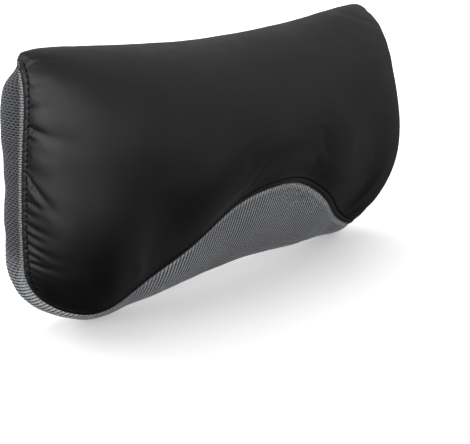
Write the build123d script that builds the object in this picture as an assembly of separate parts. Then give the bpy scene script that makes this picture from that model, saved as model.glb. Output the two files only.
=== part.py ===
from build123d import *
import math
import os

import numpy as np

# Chair headrest: a cushioned pad on a tilt hinge, carried by a rail that slides
# on a block on the chair back and latches at set heights.
# Millimetres. Origin: centre of the rear face of the mounting plate. +Z up,
# +Y towards the chair back, -Y towards the sitter's head, X across.
# Drawn at the lowest height, tilt 0.

os.makedirs("parts", exist_ok=True)

SIDES = (-1, 1)

# Names: HX, HZ = half size in X, Z; X0/X1, Y0/Y1, Z0/Z1 = limits; R = radius; T = thickness.

# ---- pad outline; its heights are in the pad's own frame, see pad_z
PAD_Z = -20.0            # height of the pad's own middle
HALF_W = 234.6           # half width at the side seams
SIDE_BOW = 4.3           # how far the side seams bow out half way up
SEAM_TOP = 105.1         # top of the side seam
LEATHER_LOW = -112.7     # lowest line of the leather at the corners
CORNER_R = 51.7          # bottom corner radius of the leather
SEAM_LOW = LEATHER_LOW + CORNER_R
SEAM_Y = -37.2           # mean depth of the side seam
SEAM_LEAN = -5.0         # added to the depth at its top, taken off at its foot
PILLOW_POWER, PILLOW_ROOT = 3.34, 0.31   # fullness across the width
HORN, HORN_WIDTH = 1.8, 0.10             # raised top corners, width as a share
DIP = 21.4                               # dipped top middle

# Lower leather edge: share of the half width, rise, depth y
LOWER_EDGE = np.array([
    (0.00, 88.1, -109.2),
    (0.22, 76.8, -102.7),
    (0.42, 48.3, -94.9),
    (0.60, 18.9, -76.4),
    (0.78, 0.9, -65.4),
    (1.00, 0.0, SEAM_Y - SEAM_LEAN),
])
# Leather control rows, rear top edge first: y and z at the middle, share of the way
# down the side seam, y at the seam, share of horn and dip, share of the arch
LEATHER_ROWS = [
    (-21.9, 107.5, 0.00, SEAM_Y + 14, 1.0, 0.0),
    (-8.6, 128.8, 0.02, SEAM_Y + 8, 1.0, 0.0),
    (-73.9, 113.8, 0.10, SEAM_Y + 0.8 * SEAM_LEAN, 0.8, 0.0),
    (-118.5, 31.5, 0.45, SEAM_Y + 0.1 * SEAM_LEAN, 0.0, 0.0),
    (-141.2, -39.2, 0.80, SEAM_Y - 0.6 * SEAM_LEAN, 0.0, 0.45),
]

# Rear edge of the pad
REAR_Y = -16.0
REAR_LOW = -115.4
REAR_R = 62.0            # bottom corner radius
REAR_IN = 3.5            # narrower than the leather by this much each side
REAR_ARCH = 7.2          # rise of the lower edge at the middle
REAR_ARCH_AT = [0.0, 0.3, 0.6, 1.0]      # shares of the half width
REAR_ARCH_SHARE = [1.0, 0.75, 0.2, 0.0]
TOP_BLEND = 60.0         # height over which the rear edge runs into the seam top

GUSSET_REACH = 42.0      # greatest reach of the strip's rear curve
GUSSET_OUT = 7.0         # bulge outwards
GUSSET_SAG = 4.5         # extra bulge where the strip is wide

LEATHER_T, MESH_T, REAR_T = 1.2, 1.6, 1.5
COLUMNS, ROWS = 27, 15   # leather grid

# ---- board, window in the rear of the pad, zip
BOARD_HX, BOARD_Z0, BOARD_Z1 = 170.0, -78.0, 82.0
BOARD_Y0, BOARD_Y1 = -55.0, -46.0
WINDOW_HX, WINDOW_Z0, WINDOW_Z1 = 50.0, -70.0, 60.0
ZIP_Z, ZIP_HX = -97.0, 150.0

# ---- mount plate and slider block
PLATE_HX, PLATE_HZ, PLATE_T = 60.0, 55.0, 3.0
BLOCK_HX, BLOCK_HZ = 32.8, 28.0
BLOCK_Y0, BLOCK_Y1 = -25.8, -8.2
NECK_HX = 21.7
SPRING_Y = -15.5         # axis of the button spring
FIT = 0.1                # clearance round moving pieces

# ---- rail and rack
RAIL_HX, RAIL_T = 35.0, 2.0
RAIL_Y0, RAIL_Y1 = -28.0, -6.0
RAIL_Z0, RAIL_Z1 = -80.0, 31.0
LIP_X = 22.0             # inner edge of the rear lips
TRAVEL, PITCH, TEETH = 48.0, 8.0, 8
FLOOR_Y = RAIL_Y0 + RAIL_T
RACK_Y, TOOTH_Y = -24.5, -21.5           # root and tip of the teeth
RIVET_Z = (-50.0, 20.0)
RIVET_HOLE_R = 1.65

# ---- latch, worked by wedges on the two button legs
LATCH_Z = 8.0
LATCH_HX, LATCH_HZ = 8.0, 4.5
TOOTH_Z = LATCH_Z + 3.3
WEDGE = 3.5 / 6.0        # latch travel per millimetre of button travel
RAMP_Y, RAMP_HZ, RAMP_GAP = -16.0, 3.0, 0.03
LEG_X0, LEG_X1 = 9.0, 12.0
LEG_Y0, LEG_Y1 = -19.0, -13.0

# ---- tilt hinge
PIVOT_Y, PIVOT_Z, PIVOT_R = -36.0, -68.0, 4.0
EAR_X0, EAR_X1 = 36.5, 39.0              # bracket ears
BRACKET_T = 2.5
BOLT_FLANGE_Y = -42.4    # underside of the bracket bolt heads


def pad_z(z):
    """Height in the pad's own frame to height in the common frame."""
    return z + PAD_Z


def grid_points(half_x, heights):
    return [(x, z) for x in (-half_x, half_x) for z in heights]


WALL_BOLTS = grid_points(48.0, (-40.0, 40.0))
BLOCK_SCREWS = grid_points(17.0, (-21.0, 21.0))
BRACKET_BOLTS = grid_points(26.0, (pad_z(-62.0), pad_z(-20.0)))
BEZEL_POSTS = grid_points(WINDOW_HX + 6, (pad_z(WINDOW_Z0 - 5.5), pad_z(WINDOW_Z1 + 5.5)))


# ---------------------------------------------------------------- solid helpers
def block(x0, x1, y0, y1, z0, z1):
    return Pos((x0 + x1) / 2, (y0 + y1) / 2, (z0 + z1) / 2) * Box(x1 - x0, y1 - y0, z1 - z0)


def cyl_y(x, z, r, y0, y1):
    return Pos(x, (y0 + y1) / 2, z) * Rot(90, 0, 0) * Cylinder(r, y1 - y0)


def cyl_z(x, y, r, z0, z1):
    return Pos(x, y, (z0 + z1) / 2) * Cylinder(r, z1 - z0)


def cone_y(x, z, r0, r1, y0, y1):
    """Cone along Y, radius r0 at y0 and r1 at y1."""
    return Pos(x, (y0 + y1) / 2, z) * Rot(-90, 0, 0) * Cone(r0, r1, y1 - y0)


def hinge_cyl(r, x0, x1):
    """Cylinder along the hinge axis."""
    return Pos((x0 + x1) / 2, PIVOT_Y, PIVOT_Z) * Rot(0, 90, 0) * Cylinder(r, x1 - x0)


def hinge_tube(r, x0, x1):
    return hinge_cyl(r, x0, x1) - hinge_cyl(PIVOT_R + 0.1, -50, 50)


def hinge_hex(x0, length):
    """Hexagon on the hinge axis with its corners rounded off."""
    prism = extrude(RegularPolygon(7.5, 6, major_radius=True), length)
    prism = Pos(x0, PIVOT_Y, PIVOT_Z) * Rot(0, 90, 0) * prism
    return prism & hinge_cyl(7.3, x0, x0 + length)


def prism_x(points, x0, x1):
    """(y, z) outline pushed along X."""
    wire = Wire.make_polygon([(x0, y, z) for y, z in points], close=True)
    return Solid.extrude(Face(wire), Vector(x1 - x0, 0, 0))


def prism_y(points, y0, y1):
    """(x, z) outline pushed along Y."""
    wire = Wire.make_polygon([(x, y0, z) for x, z in points], close=True)
    return Solid.extrude(Face(wire), Vector(0, y1 - y0, 0))


def hexagon(across_flats):
    r = across_flats / math.sqrt(3)
    angles = [math.radians(a) for a in range(0, 360, 60)]
    return [(r * math.cos(a), r * math.sin(a)) for a in angles]


def both_sides(x0, x1):
    """X limits of a span on the -X side and of its mirror on the +X side."""
    return [(-x1, -x0), (x0, x1)]


def round_y_edges(shape, radius):
    return fillet(shape.edges().filter_by(Axis.Y), radius)


def window_block(grow, y0, y1):
    """Block of the size of the rear window, grown on all four sides."""
    return block(-WINDOW_HX - grow, WINDOW_HX + grow, y0, y1,
                 pad_z(WINDOW_Z0 - grow), pad_z(WINDOW_Z1 + grow))


def coil(radius, wire, height, turns):
    """Open compression spring standing on Z = 0."""
    path = Helix(pitch=(height - wire) / turns, height=height - wire, radius=radius)
    profile = Plane(origin=path @ 0, z_dir=path % 0) * Circle(wire / 2)
    return Pos(0, 0, wire / 2) * sweep(profile, path=path)


def save(name, shapes):
    """Write one STEP file from a shape or a list of shapes."""
    if not isinstance(shapes, list):
        shapes = [shapes]
    solids = [solid for shape in shapes for solid in shape.solids()]
    shape = solids[0] if len(solids) == 1 else Compound(children=solids)
    export_step(shape, f"parts/{name}.step")


# ---------------------------------------------------------------- curves
def smooth(t):
    t = np.clip(t, 0, 1)
    return t * t * (3 - 2 * t)


def flat_end_spline(knots, values, x):
    """Cubic through the points with zero slope at both ends."""
    knots = np.asarray(knots, float)
    values = np.asarray(values, float)
    n = len(knots)
    h = np.diff(knots)
    matrix = np.zeros((n, n))
    right = np.zeros(n)
    matrix[0, 0] = matrix[-1, -1] = 1
    for i in range(1, n - 1):
        matrix[i, i - 1] = 1 / h[i - 1]
        matrix[i, i] = 2 * (1 / h[i - 1] + 1 / h[i])
        matrix[i, i + 1] = 1 / h[i]
        right[i] = 3 * ((values[i] - values[i - 1]) / h[i - 1] ** 2
                        + (values[i + 1] - values[i]) / h[i] ** 2)
    slope = np.linalg.solve(matrix, right)
    x = np.clip(np.asarray(x, float), knots[0], knots[-1])
    j = np.clip(np.searchsorted(knots, x, side="right") - 1, 0, n - 2)
    t = (x - knots[j]) / h[j]
    return ((2 * t**3 - 3 * t * t + 1) * values[j] + (t**3 - 2 * t * t + t) * h[j] * slope[j]
            + (3 * t * t - 2 * t**3) * values[j + 1] + (t**3 - t * t) * h[j] * slope[j + 1])


def spline_rows(controls, rows):
    """Points along the clamped cubic B-spline of the controls (first axis)."""
    count, degree = len(controls), 3
    inner = list(np.linspace(0, 1, count - degree + 1))
    knots = [0.0] * degree + inner + [1.0] * degree

    def basis(i, k, t):
        if k == 0:
            inside = ((t >= knots[i]) & (t < knots[i + 1])).astype(float)
            if knots[i + 1] == 1 and knots[i] < 1:
                inside = inside + (t == 1)
            return inside
        rise = fall = 0
        if knots[i + k] > knots[i]:
            rise = (t - knots[i]) / (knots[i + k] - knots[i]) * basis(i, k - 1, t)
        if knots[i + k + 1] > knots[i + 1]:
            fall = ((knots[i + k + 1] - t) / (knots[i + k + 1] - knots[i + 1])
                    * basis(i + 1, k - 1, t))
        return rise + fall

    t = np.linspace(0, 1, rows)
    weights = np.stack([basis(i, degree, t) for i in range(count)], 1)
    return np.einsum("mk,k...->m...", weights, controls)


def corner_rise(x, half_width, radius):
    """Height of a rounded bottom corner above the straight edge."""
    c = np.clip(np.abs(x) - (half_width - radius), 0, radius)
    return radius - np.sqrt(np.maximum(radius**2 - c * c, 0))


def stations(n, half):
    """X places from -half to half, closer together towards the ends."""
    crowding = 0.55
    t = np.linspace(-1, 1, n)
    return (crowding * np.sin(np.pi / 2 * t) + (1 - crowding) * t) * half


# ---------------------------------------------------------------- pad surface
def leather_controls(x):
    """Six (y, z) control points for each x, rear top edge first, lower seam last."""
    s = np.clip(np.abs(x) / HALF_W, 0, 1 - 1e-9)
    at, rises, depths = LOWER_EDGE.T
    arch = flat_end_spline(at, rises, s)
    fullness = np.maximum(1 - s**PILLOW_POWER, 1e-12) ** PILLOW_ROOT
    lift = HORN * np.exp(-(((1 - s) / HORN_WIDTH) ** 2)) - DIP * (1 - s**2)
    rows = []
    for mid_y, mid_z, down, side_y, lift_share, arch_share in LEATHER_ROWS:
        side_z = SEAM_TOP + (SEAM_LOW - SEAM_TOP) * down
        y = side_y + (mid_y - side_y) * fullness
        z = side_z + (mid_z - side_z) * smooth(fullness) + lift * lift_share
        z = z + (arch - rises[0]) * arch_share * fullness
        rows.append(np.stack([y, z], -1))
    edge_z = LEATHER_LOW + arch + corner_rise(x, HALF_W, CORNER_R)
    rows.append(np.stack([flat_end_spline(at, depths, s), edge_z], -1))
    return np.array(rows)


def leather_grid(x, rows, bow=True):
    yz = spline_rows(leather_controls(x), rows)
    grid = np.zeros((rows, len(x), 3))
    grid[..., 0] = x
    grid[..., 1:] = yz
    if bow:
        s = np.abs(x) / HALF_W
        rel = (yz[..., 1] - SEAM_LOW) / (SEAM_TOP - SEAM_LOW)
        grid[..., 0] += np.sign(x) * SIDE_BOW * np.clip(4 * rel * (1 - rel), 0, 1) * s**6
    return grid


def rear_edge_z(x, half_width):
    """Lower rear edge of the pad at x."""
    rises = REAR_ARCH * np.array(REAR_ARCH_SHARE)
    arch = flat_end_spline(REAR_ARCH_AT, rises, abs(x) / half_width)
    return REAR_LOW + arch + corner_rise(x, half_width, REAR_R)


def rear_outline(front):
    """Rear edge of the side strip for each point of the leather's seam."""
    rear_side_low = REAR_LOW + REAR_R
    half_rear = HALF_W - REAR_IN
    rear = np.zeros_like(front)
    for i, (x, y, z) in enumerate(front):
        xr = x * half_rear / HALF_W
        if z > SEAM_LOW + 1e-6 and abs(x) > HALF_W - 1e-3:
            down = (SEAM_TOP - z) / (SEAM_TOP - SEAM_LOW)
            zr = min(z, SEAM_TOP + (rear_side_low - SEAM_TOP) * down)
            blend = np.clip((SEAM_TOP - zr) / TOP_BLEND, 0, 1)
            yr = y + (REAR_Y - y) * math.sqrt(max(0, 1 - (1 - blend) ** 2))
        else:
            zr = rear_edge_z(xr, half_rear)
            yr = REAR_Y
        rear[i] = (xr, yr, zr)
    return rear


def gusset_grid(front, rear, rows):
    """Side strip from the leather's seam to the rear edge."""
    zero = np.zeros(len(front))
    along = np.gradient(rear[:, [0, 2]], axis=0)
    along /= np.maximum(np.linalg.norm(along, axis=1, keepdims=True), 1e-9)
    out = np.stack([along[:, 1], zero, -along[:, 0]], -1)
    if out[0, 0] > 0:
        out = -out
    depth = rear[:, 1] - front[:, 1]
    reach = np.minimum(0.5 * depth, GUSSET_REACH)
    bulge = out * GUSSET_OUT * smooth(depth / 14.0)[:, None]
    wide = smooth((depth - 35) / 40)
    sag = np.stack([zero, -wide * GUSSET_SAG, -wide * GUSSET_SAG], -1)
    middle = rear + np.stack([zero, -reach, zero], -1) + bulge
    near_front = front + 0.5 * (middle - front) + sag + bulge * (1 - wide)[:, None] * 0.7
    near_rear = middle + 0.5 * (rear - middle) + bulge * 0.6
    return spline_rows(np.stack([front, near_front, middle, near_rear, rear], 0), rows)


def outward_normals(grid, axis):
    """Unit normals, all turned so that the middle one points down the given axis."""
    n = np.cross(np.gradient(grid, axis=1), np.gradient(grid, axis=0))
    n = n / np.maximum(np.linalg.norm(n, axis=2, keepdims=True), 1e-9)
    middle = n[grid.shape[0] // 2, grid.shape[1] // 2]
    return -n if middle[axis] > 0 else n


def inset_loop(points, distance):
    """Closed (y, z) loop moved inwards."""
    following = np.roll(points, -1, 0)
    along = following - np.roll(points, 1, 0)
    along /= np.linalg.norm(along, axis=1, keepdims=True)
    normal = np.stack([along[:, 1], -along[:, 0]], -1)
    area = 0.5 * np.sum(points[:, 0] * following[:, 1] - following[:, 0] * points[:, 1])
    return points - normal * distance * (1 if area > 0 else -1)


def body_sections(xs, inset):
    """Closed (y, z) loops round the whole pad: leather, lower strip, rear face."""
    grid = leather_grid(xs, 17, bow=False)
    sections = []
    for j, x in enumerate(xs):
        column = grid[:, j, 1:]
        y0, z0 = column[-1]
        y1, z1 = REAR_Y, rear_edge_z(x, HALF_W)
        reach = min(0.5 * (y1 - y0), GUSSET_REACH)
        strip = spline_rows(np.array([
            [y0, z0],
            [(y0 + y1 - reach) / 2 - 2, (z0 + z1 - 3) / 2],
            [y1 - reach, z1 - 3],
            [y1 - reach / 2, z1 - 2],
            [y1, z1],
        ]), 6)
        back = np.linspace([y1, z1], [REAR_Y, column[0, 1] - 4], 6)
        loop = np.concatenate([column, strip[1:], back[1:]])
        sections.append(inset_loop(loop, inset) + np.array([0, PAD_Z]))
    return sections


# ---------------------------------------------------------------- faceted solids
def closed_solid(vertices, triangles):
    vertices = np.round(np.asarray(vertices, float), 5)
    faces = []
    for a, b, c in triangles:
        p, q, r = vertices[a], vertices[b], vertices[c]
        if np.linalg.norm(np.cross(q - p, r - p)) < 2e-4:    # no area
            continue
        faces.append(Face(Wire.make_polygon([tuple(p), tuple(q), tuple(r)], close=True)))
    solid = Solid(Shell(faces))
    if solid.volume < 0:
        return closed_solid(vertices, [(a, c, b) for a, b, c in triangles])
    return solid


def skin(outer, inner):
    """Closed thin solid between two grids of the same size."""
    nv, nu = outer.shape[:2]
    vertices = np.concatenate([outer.reshape(-1, 3), inner.reshape(-1, 3)])
    off = nv * nu
    triangles = []

    def quad(a, b, c, d):
        triangles.extend([(a, b, c), (a, c, d)])

    for i in range(nv - 1):
        for j in range(nu - 1):
            a = i * nu + j
            b, c, d = a + 1, a + nu + 1, a + nu
            quad(a, b, c, d)
            quad(off + a, off + d, off + c, off + b)
    ring = [(0, j) for j in range(nu)] + [(i, nu - 1) for i in range(1, nv)]
    ring += [(nv - 1, j) for j in range(nu - 2, -1, -1)] + [(i, 0) for i in range(nv - 2, 0, -1)]
    for (i, j), (k, m) in zip(ring, ring[1:] + ring[:1]):
        a, b = i * nu + j, k * nu + m
        quad(b, a, off + a, off + b)
    return closed_solid(vertices, triangles)


def lofted(sections, xs):
    """Solid through closed (y, z) loops at the given x."""
    n = len(sections[0])
    vertices = [(x, y, z) for x, section in zip(xs, sections) for y, z in section]
    triangles = []
    for i in range(len(xs) - 1):
        for j in range(n):
            k = (j + 1) % n
            a, b, c, d = i * n + j, i * n + k, (i + 1) * n + k, (i + 1) * n + j
            triangles += [(a, b, c), (a, c, d)]
    for i, flip in ((0, True), (len(xs) - 1, False)):
        centre = len(vertices)
        vertices.append((xs[i], *np.mean(sections[i], 0)))
        for j in range(n):
            a, b = i * n + j, i * n + (j + 1) % n
            triangles.append((centre, b, a) if flip else (centre, a, b))
    return closed_solid(vertices, triangles)


# ---------------------------------------------------------------- cover
PAD_SHIFT = np.array([0, 0, PAD_Z])
LEATHER = leather_grid(stations(COLUMNS, HALF_W), ROWS)
# seam: left side, lower edge, right side
SEAM = np.concatenate([LEATHER[:, 0], LEATHER[-1, 1:-1], LEATHER[::-1, -1]])
REAR_EDGE = rear_outline(SEAM)


def leather_cover():
    """Front of the pad, wrapping over the top to its rear edge."""
    inner = LEATHER - outward_normals(LEATHER, axis=1) * LEATHER_T
    return skin(LEATHER + PAD_SHIFT, inner + PAD_SHIFT)


def mesh_gusset():
    """Side strip; it stops short of the leather and of the tips, so it touches nothing."""
    strip = gusset_grid(SEAM, REAR_EDGE, 7)
    normals = outward_normals(strip, axis=2)[:, 2:-2]
    strip = strip[:, 2:-2].copy()
    step = strip[1] - strip[0]
    length = np.linalg.norm(step, axis=1, keepdims=True)
    strip[0] += step * np.where(length > 3.0, 2.4 / np.maximum(length, 3.0), 0.75)
    return skin(strip + PAD_SHIFT, strip - normals * MESH_T + PAD_SHIFT)


def rear_panel():
    """Flat cloth with a window for the bracket and a slit for the zip."""
    margin = 3.5
    trim = ROWS // 3
    outline = np.concatenate([REAR_EDGE[trim:-trim], LEATHER[0][::-1][2:-2]])[:, [0, 2]]
    to_centre = np.array([0.0, -10.0]) - outline
    outline = outline + to_centre / np.linalg.norm(to_centre, axis=1, keepdims=True) * margin
    panel = prism_y([(x, pad_z(z)) for x, z in outline], REAR_Y - REAR_T, REAR_Y)
    slit = block(-ZIP_HX - 1, ZIP_HX + 1, -30, 0, pad_z(ZIP_Z - 2.6), pad_z(ZIP_Z + 2.6))
    return panel - window_block(10.5, -30, 0) - slit


# ---------------------------------------------------------------- filling
def foam_core():
    xs = stations(21, HALF_W - 13.0)
    foam = lofted(body_sections(xs, 9.0), xs)
    foam = foam - block(-BOARD_HX - 0.5, BOARD_HX + 0.5, BOARD_Y0 - 0.1, BOARD_Y1 + 0.1,
                        pad_z(BOARD_Z0 - 0.5), pad_z(BOARD_Z1 + 0.5))
    foam = foam - window_block(11, BOARD_Y1 - 1, -10)
    for x, z in BRACKET_BOLTS:    # room for the tee nut flanges
        foam = foam - cyl_y(x, z, 10.2, BOARD_Y0 - 2.2, BOARD_Y0)
    return foam


def fibre_wadding():
    """Layer between the leather and the foam."""
    xs = stations(19, HALF_W - 32.0)
    loops = body_sections(xs, 0.0)

    def layer(depth):
        columns = [[(x, y, z) for y, z in inset_loop(loop, depth)[1:16]]
                   for x, loop in zip(xs, loops)]
        return np.array(columns).transpose(1, 0, 2)

    return skin(layer(3.0), layer(8.2))


# ---------------------------------------------------------------- mount
def mount_plate():
    plate = block(-PLATE_HX, PLATE_HX, -PLATE_T, 0, -PLATE_HZ, PLATE_HZ)
    plate = round_y_edges(plate, 8)
    for wall_bolt, screw in zip(WALL_BOLTS, BLOCK_SCREWS):
        plate -= cyl_y(*wall_bolt, 3.3, -PLATE_T, 0)
        plate -= cyl_y(*screw, 2.65, -PLATE_T, 0)
        plate -= cone_y(*screw, 2.65, 5.15, -2.5, 0)
    for x0, x1 in both_sides(31, 37):    # stiffening beads beside the block
        plate += block(x0, x1, -4.2, -PLATE_T, -38, 38)
    return plate


def slider_block():
    body = block(-BLOCK_HX, BLOCK_HX, BLOCK_Y0, BLOCK_Y1, -BLOCK_HZ, BLOCK_HZ)
    body = chamfer(body.edges().filter_by(Axis.X), 1.2)
    body += block(-NECK_HX, NECK_HX, BLOCK_Y1 - 1, -PLATE_T, -BLOCK_HZ, BLOCK_HZ)
    # groove over the rack
    body -= block(-11, 11, BLOCK_Y0 - 1, -21, -BLOCK_HZ - 1, BLOCK_HZ + 1)
    # latch bore, then the wider opening for its ramps
    for half_x, half_z, y0 in ((LATCH_HX, LATCH_HZ, -22), (LEG_X1, RAMP_HZ, -18.6)):
        half_x, half_z = half_x + FIT, half_z + FIT
        body -= block(-half_x, half_x, y0, -2, LATCH_Z - half_z, LATCH_Z + half_z)
    slots = both_sides(LEG_X0 - FIT, LEG_X1 + FIT)
    for (x0, x1), screws in zip(slots, (BLOCK_SCREWS[:2], BLOCK_SCREWS[2:])):
        body -= block(x0, x1, LEG_Y0 - FIT, LEG_Y1 + FIT, -1.0, BLOCK_HZ + 1)
        for x, z in screws:
            body -= cyl_y(x, z, 2.1, -20, -2)
    body -= cyl_z(0, SPRING_Y, 3.4, 15.5, BLOCK_HZ + 1)
    # relief windows that keep the moulded walls even
    for z0, z1 in both_sides(6, 22):
        for x0, x1 in both_sides(25.5, 30.0):
            body -= block(x0, x1, BLOCK_Y0 - 1, -15, z0, z1)
    return body


def block_screws():
    screws = []
    for x, z in BLOCK_SCREWS:
        screw = cyl_y(0, 0, 2.05, -18.5, -2.45)
        screw += cone_y(0, 0, 2.55, 5.0, -2.45, -0.05)
        screw -= prism_y(hexagon(3.0), -1.7, 0.1)
        screws.append(Pos(x, 0, z) * screw)
    return screws


# ---------------------------------------------------------------- button and latch
def ramp_y(z):
    """Front face of the latch ramps."""
    return RAMP_Y + WEDGE * (z - LATCH_Z)


def release_button():
    cap = block(-20, 20, LEG_Y1, -4, 56, 68)
    cap = round_y_edges(cap, 4)
    cap = fillet(cap.edges().filter_by(Axis.X), 1.6)
    cap -= cyl_y(0, 92.5, 25.5, -10.8, -6.2)     # shallow hollow in the top
    for k in range(-2, 3):                       # grip grooves
        cap -= cyl_y(k * 5.0, 67.2, 0.7, -13.5, -3.5)
    stem = block(-LEG_X1, LEG_X1, LEG_Y1, -8, 36, 57)
    stem -= block(-5, 5, -13.5, -7.5, 42, 52)
    bridge = block(-LEG_X1, LEG_X1, LEG_Y0, -8, 34.5, 38.5)
    button = cap + stem + bridge
    leg_low, leg_top = LATCH_Z - 1.0, 35
    ramp_top = LATCH_Z + (LEG_Y1 - RAMP_Y + RAMP_GAP) / WEDGE
    for x0, x1 in both_sides(LEG_X0, LEG_X1):
        button += prism_x([(LEG_Y0, leg_low), (ramp_y(leg_low) - RAMP_GAP, leg_low),
                           (LEG_Y1, ramp_top), (LEG_Y1, leg_top), (LEG_Y0, leg_top)], x0, x1)
    return button


def button_return_spring():
    return Pos(0, SPRING_Y, 15.6) * coil(radius=2.5, wire=0.8, height=18.8, turns=6.5)


def latch_bolt():
    latch = block(-LATCH_HX, LATCH_HX, -21, -12, LATCH_Z - LATCH_HZ, LATCH_Z + LATCH_HZ)
    nose_root, nose_tip, nose_top = -20.9, -24.3, TOOTH_Z - 0.05
    latch += prism_x([(nose_root, nose_top), (nose_tip, nose_top), (nose_tip, TOOTH_Z - 3.9),
                      (nose_root, TOOTH_Z - 6.73)], -LATCH_HX, LATCH_HX)
    low, high, back = LATCH_Z - RAMP_HZ, LATCH_Z + RAMP_HZ, -12.5
    for x0, x1 in both_sides(LATCH_HX - 0.1, LEG_X1):
        latch += prism_x([(ramp_y(low), low), (back, low), (back, high), (ramp_y(high), high)],
                         x0, x1)
    latch -= block(-5, 5, -16, -11, LATCH_Z - 3.8, LATCH_Z + 3.8)    # spring seat
    return latch


def latch_spring():
    spring = coil(radius=2.7, wire=0.8, height=12.7, turns=6.0)
    return Pos(0, -15.9, LATCH_Z) * Rot(-90, 0, 0) * spring


# ---------------------------------------------------------------- rail
def rail_channel():
    """C-shaped channel, open at the rear, with a hinge ear on each side."""
    below, above = RAIL_Z0 - 1, RAIL_Z1 + 1
    body = block(-RAIL_HX, RAIL_HX, RAIL_Y0, RAIL_Y1, RAIL_Z0, RAIL_Z1)
    body = fillet(body.edges().filter_by(Axis.Z).group_by(Axis.Y)[0], 2.6)
    rail = body - block(-RAIL_HX + RAIL_T, RAIL_HX - RAIL_T, FLOOR_Y, RAIL_Y1 - RAIL_T,
                        below, above)
    rail -= block(-LIP_X, LIP_X, -10, 0, below, above)
    ear_low, ear_high, ear_top = PIVOT_Z - 10, PIVOT_Z + 12, PIVOT_Z + 24
    ear_r = 6.5
    for x0, x1 in both_sides(RAIL_HX - RAIL_T, RAIL_HX):
        ear = block(x0, x1, PIVOT_Y, RAIL_Y1, ear_low, ear_high) + prism_x(
            [(PIVOT_Y, ear_low), (PIVOT_Y, ear_high), (PIVOT_Y + 10, ear_top),
             (RAIL_Y1, ear_top), (RAIL_Y1, ear_low)], x0, x1)
        ear += hinge_cyl(ear_r, x0, x1)
        ear -= block(x0, x1, PIVOT_Y - 8, PIVOT_Y, PIVOT_Z + ear_r, PIVOT_Z + 26)
        ear -= block(x0, x1, PIVOT_Y - 8, PIVOT_Y, PIVOT_Z - 26, PIVOT_Z - ear_r)
        rail += ear
        rail -= hinge_cyl(PIVOT_R + 0.05, x0 - 0.5, x1 + 0.5)
    for z in RIVET_Z:
        rail -= cyl_y(0, z, RIVET_HOLE_R, RAIL_Y0 - 1, FLOOR_Y + 1)
    for z in (-24.0, -8.0, 8.0):    # lightening slots either side of the rack
        for side in SIDES:
            slot = extrude(SlotOverall(12, 5, rotation=90), 2, both=True)
            rail -= Pos(side * 20, RAIL_Y0 + 1, z) * Rot(90, 0, 0) * slot
    return rail


def rack_strip():
    low, high = -56.0, 24.0
    outline = [(FLOOR_Y, low), (RACK_Y, low)]
    for k in reversed(range(TEETH)):
        z = TOOTH_Z - PITCH * k
        outline += [(RACK_Y, z), (TOOTH_Y, z), (TOOTH_Y, z + 1.5), (RACK_Y, z + 4.0)]
    outline += [(RACK_Y, high), (FLOOR_Y, high)]
    rack = prism_x(outline, -9, 9)
    for z in RIVET_Z:
        rack -= cyl_y(0, z, RIVET_HOLE_R, -27, -20)
    return rack


def rack_rivets():
    rivets = []
    for z in RIVET_Z:
        rivet = cyl_y(0, z, 1.6, RAIL_Y0, RACK_Y)
        rivet += cyl_y(0, z, 2.9, RACK_Y, RACK_Y + 0.9)
        rivet += cyl_y(0, z, 2.9, RAIL_Y0 - 1.1, RAIL_Y0)
        rivets.append(rivet)
    return rivets


def rail_end_stops():
    """One wide stop at the foot, two at the top."""
    y0, y1 = FLOOR_Y + 0.05, -20
    stops = [block(-30, 30, y0, y1, RAIL_Z0 + 0.2, -BLOCK_HZ - TRAVEL - 0.3)]
    for x0, x1 in both_sides(14, 31):
        stops.append(block(x0, x1, y0, y1, BLOCK_HZ + 0.3, RAIL_Z1 - 0.1))
    return stops


# ---------------------------------------------------------------- tilt hinge
def pivot_spacer():
    half = RAIL_HX - RAIL_T - 0.05
    return hinge_tube(6.0, -half, half)


def friction_washers():
    return [hinge_tube(7.0, x0, x1) for x0, x1 in both_sides(RAIL_HX + 0.05, EAR_X0 - 0.05)]


def pad_bracket():
    bracket = block(-EAR_X1, EAR_X1, BOARD_Y1, BOARD_Y1 + BRACKET_T, pad_z(-69.5), pad_z(-10))
    bracket = round_y_edges(bracket, 5)
    root_y = BOARD_Y1 + 0.5
    for x0, x1 in both_sides(EAR_X0, EAR_X1):
        ear = prism_x([(root_y, PIVOT_Z - 15), (PIVOT_Y, PIVOT_Z - 7),
                       (PIVOT_Y, PIVOT_Z + 7), (root_y, PIVOT_Z + 24)], x0, x1)
        ear += hinge_cyl(7.0, x0, x1)
        bracket += ear
        bracket -= hinge_cyl(PIVOT_R + 0.05, x0 - 0.5, x1 + 0.5)
    for x, z in BRACKET_BOLTS:
        bracket -= cyl_y(x, z, 3.3, -50, -40)
    slot = extrude(SlotOverall(26, 12), 2, both=True)
    bracket -= Pos(0, BOARD_Y1 + BRACKET_T / 2, pad_z(-36)) * Rot(90, 0, 0) * slot
    return bracket


def pivot_bolt():
    bolt = hinge_cyl(PIVOT_R, -48.4, 39.2)
    bolt += hinge_hex(EAR_X1 + 0.05, 5.3)
    return chamfer(bolt.faces().sort_by(Axis.X)[0].edges(), 0.8)


def disc_springs():
    """Two coned discs, dished opposite ways."""
    r0, r1, thick = 4.2, 8.0, 0.75
    discs = []
    for x, cone in ((-39.3, 0.35), (-40.5, -0.35)):
        profile = Wire.make_polygon([(x + cone / 2, r0), (x - cone / 2, r1),
                                     (x - thick - cone / 2, r1), (x - thick + cone / 2, r0)],
                                    close=True)
        disc = Solid.revolve(Face(profile), 360, Axis.X)
        discs.append(Pos(0, PIVOT_Y, PIVOT_Z) * disc)
    return discs


def lock_nut():
    return hinge_hex(-47.9, 6.0) - hinge_cyl(PIVOT_R + 0.05, -60, -30)


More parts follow.
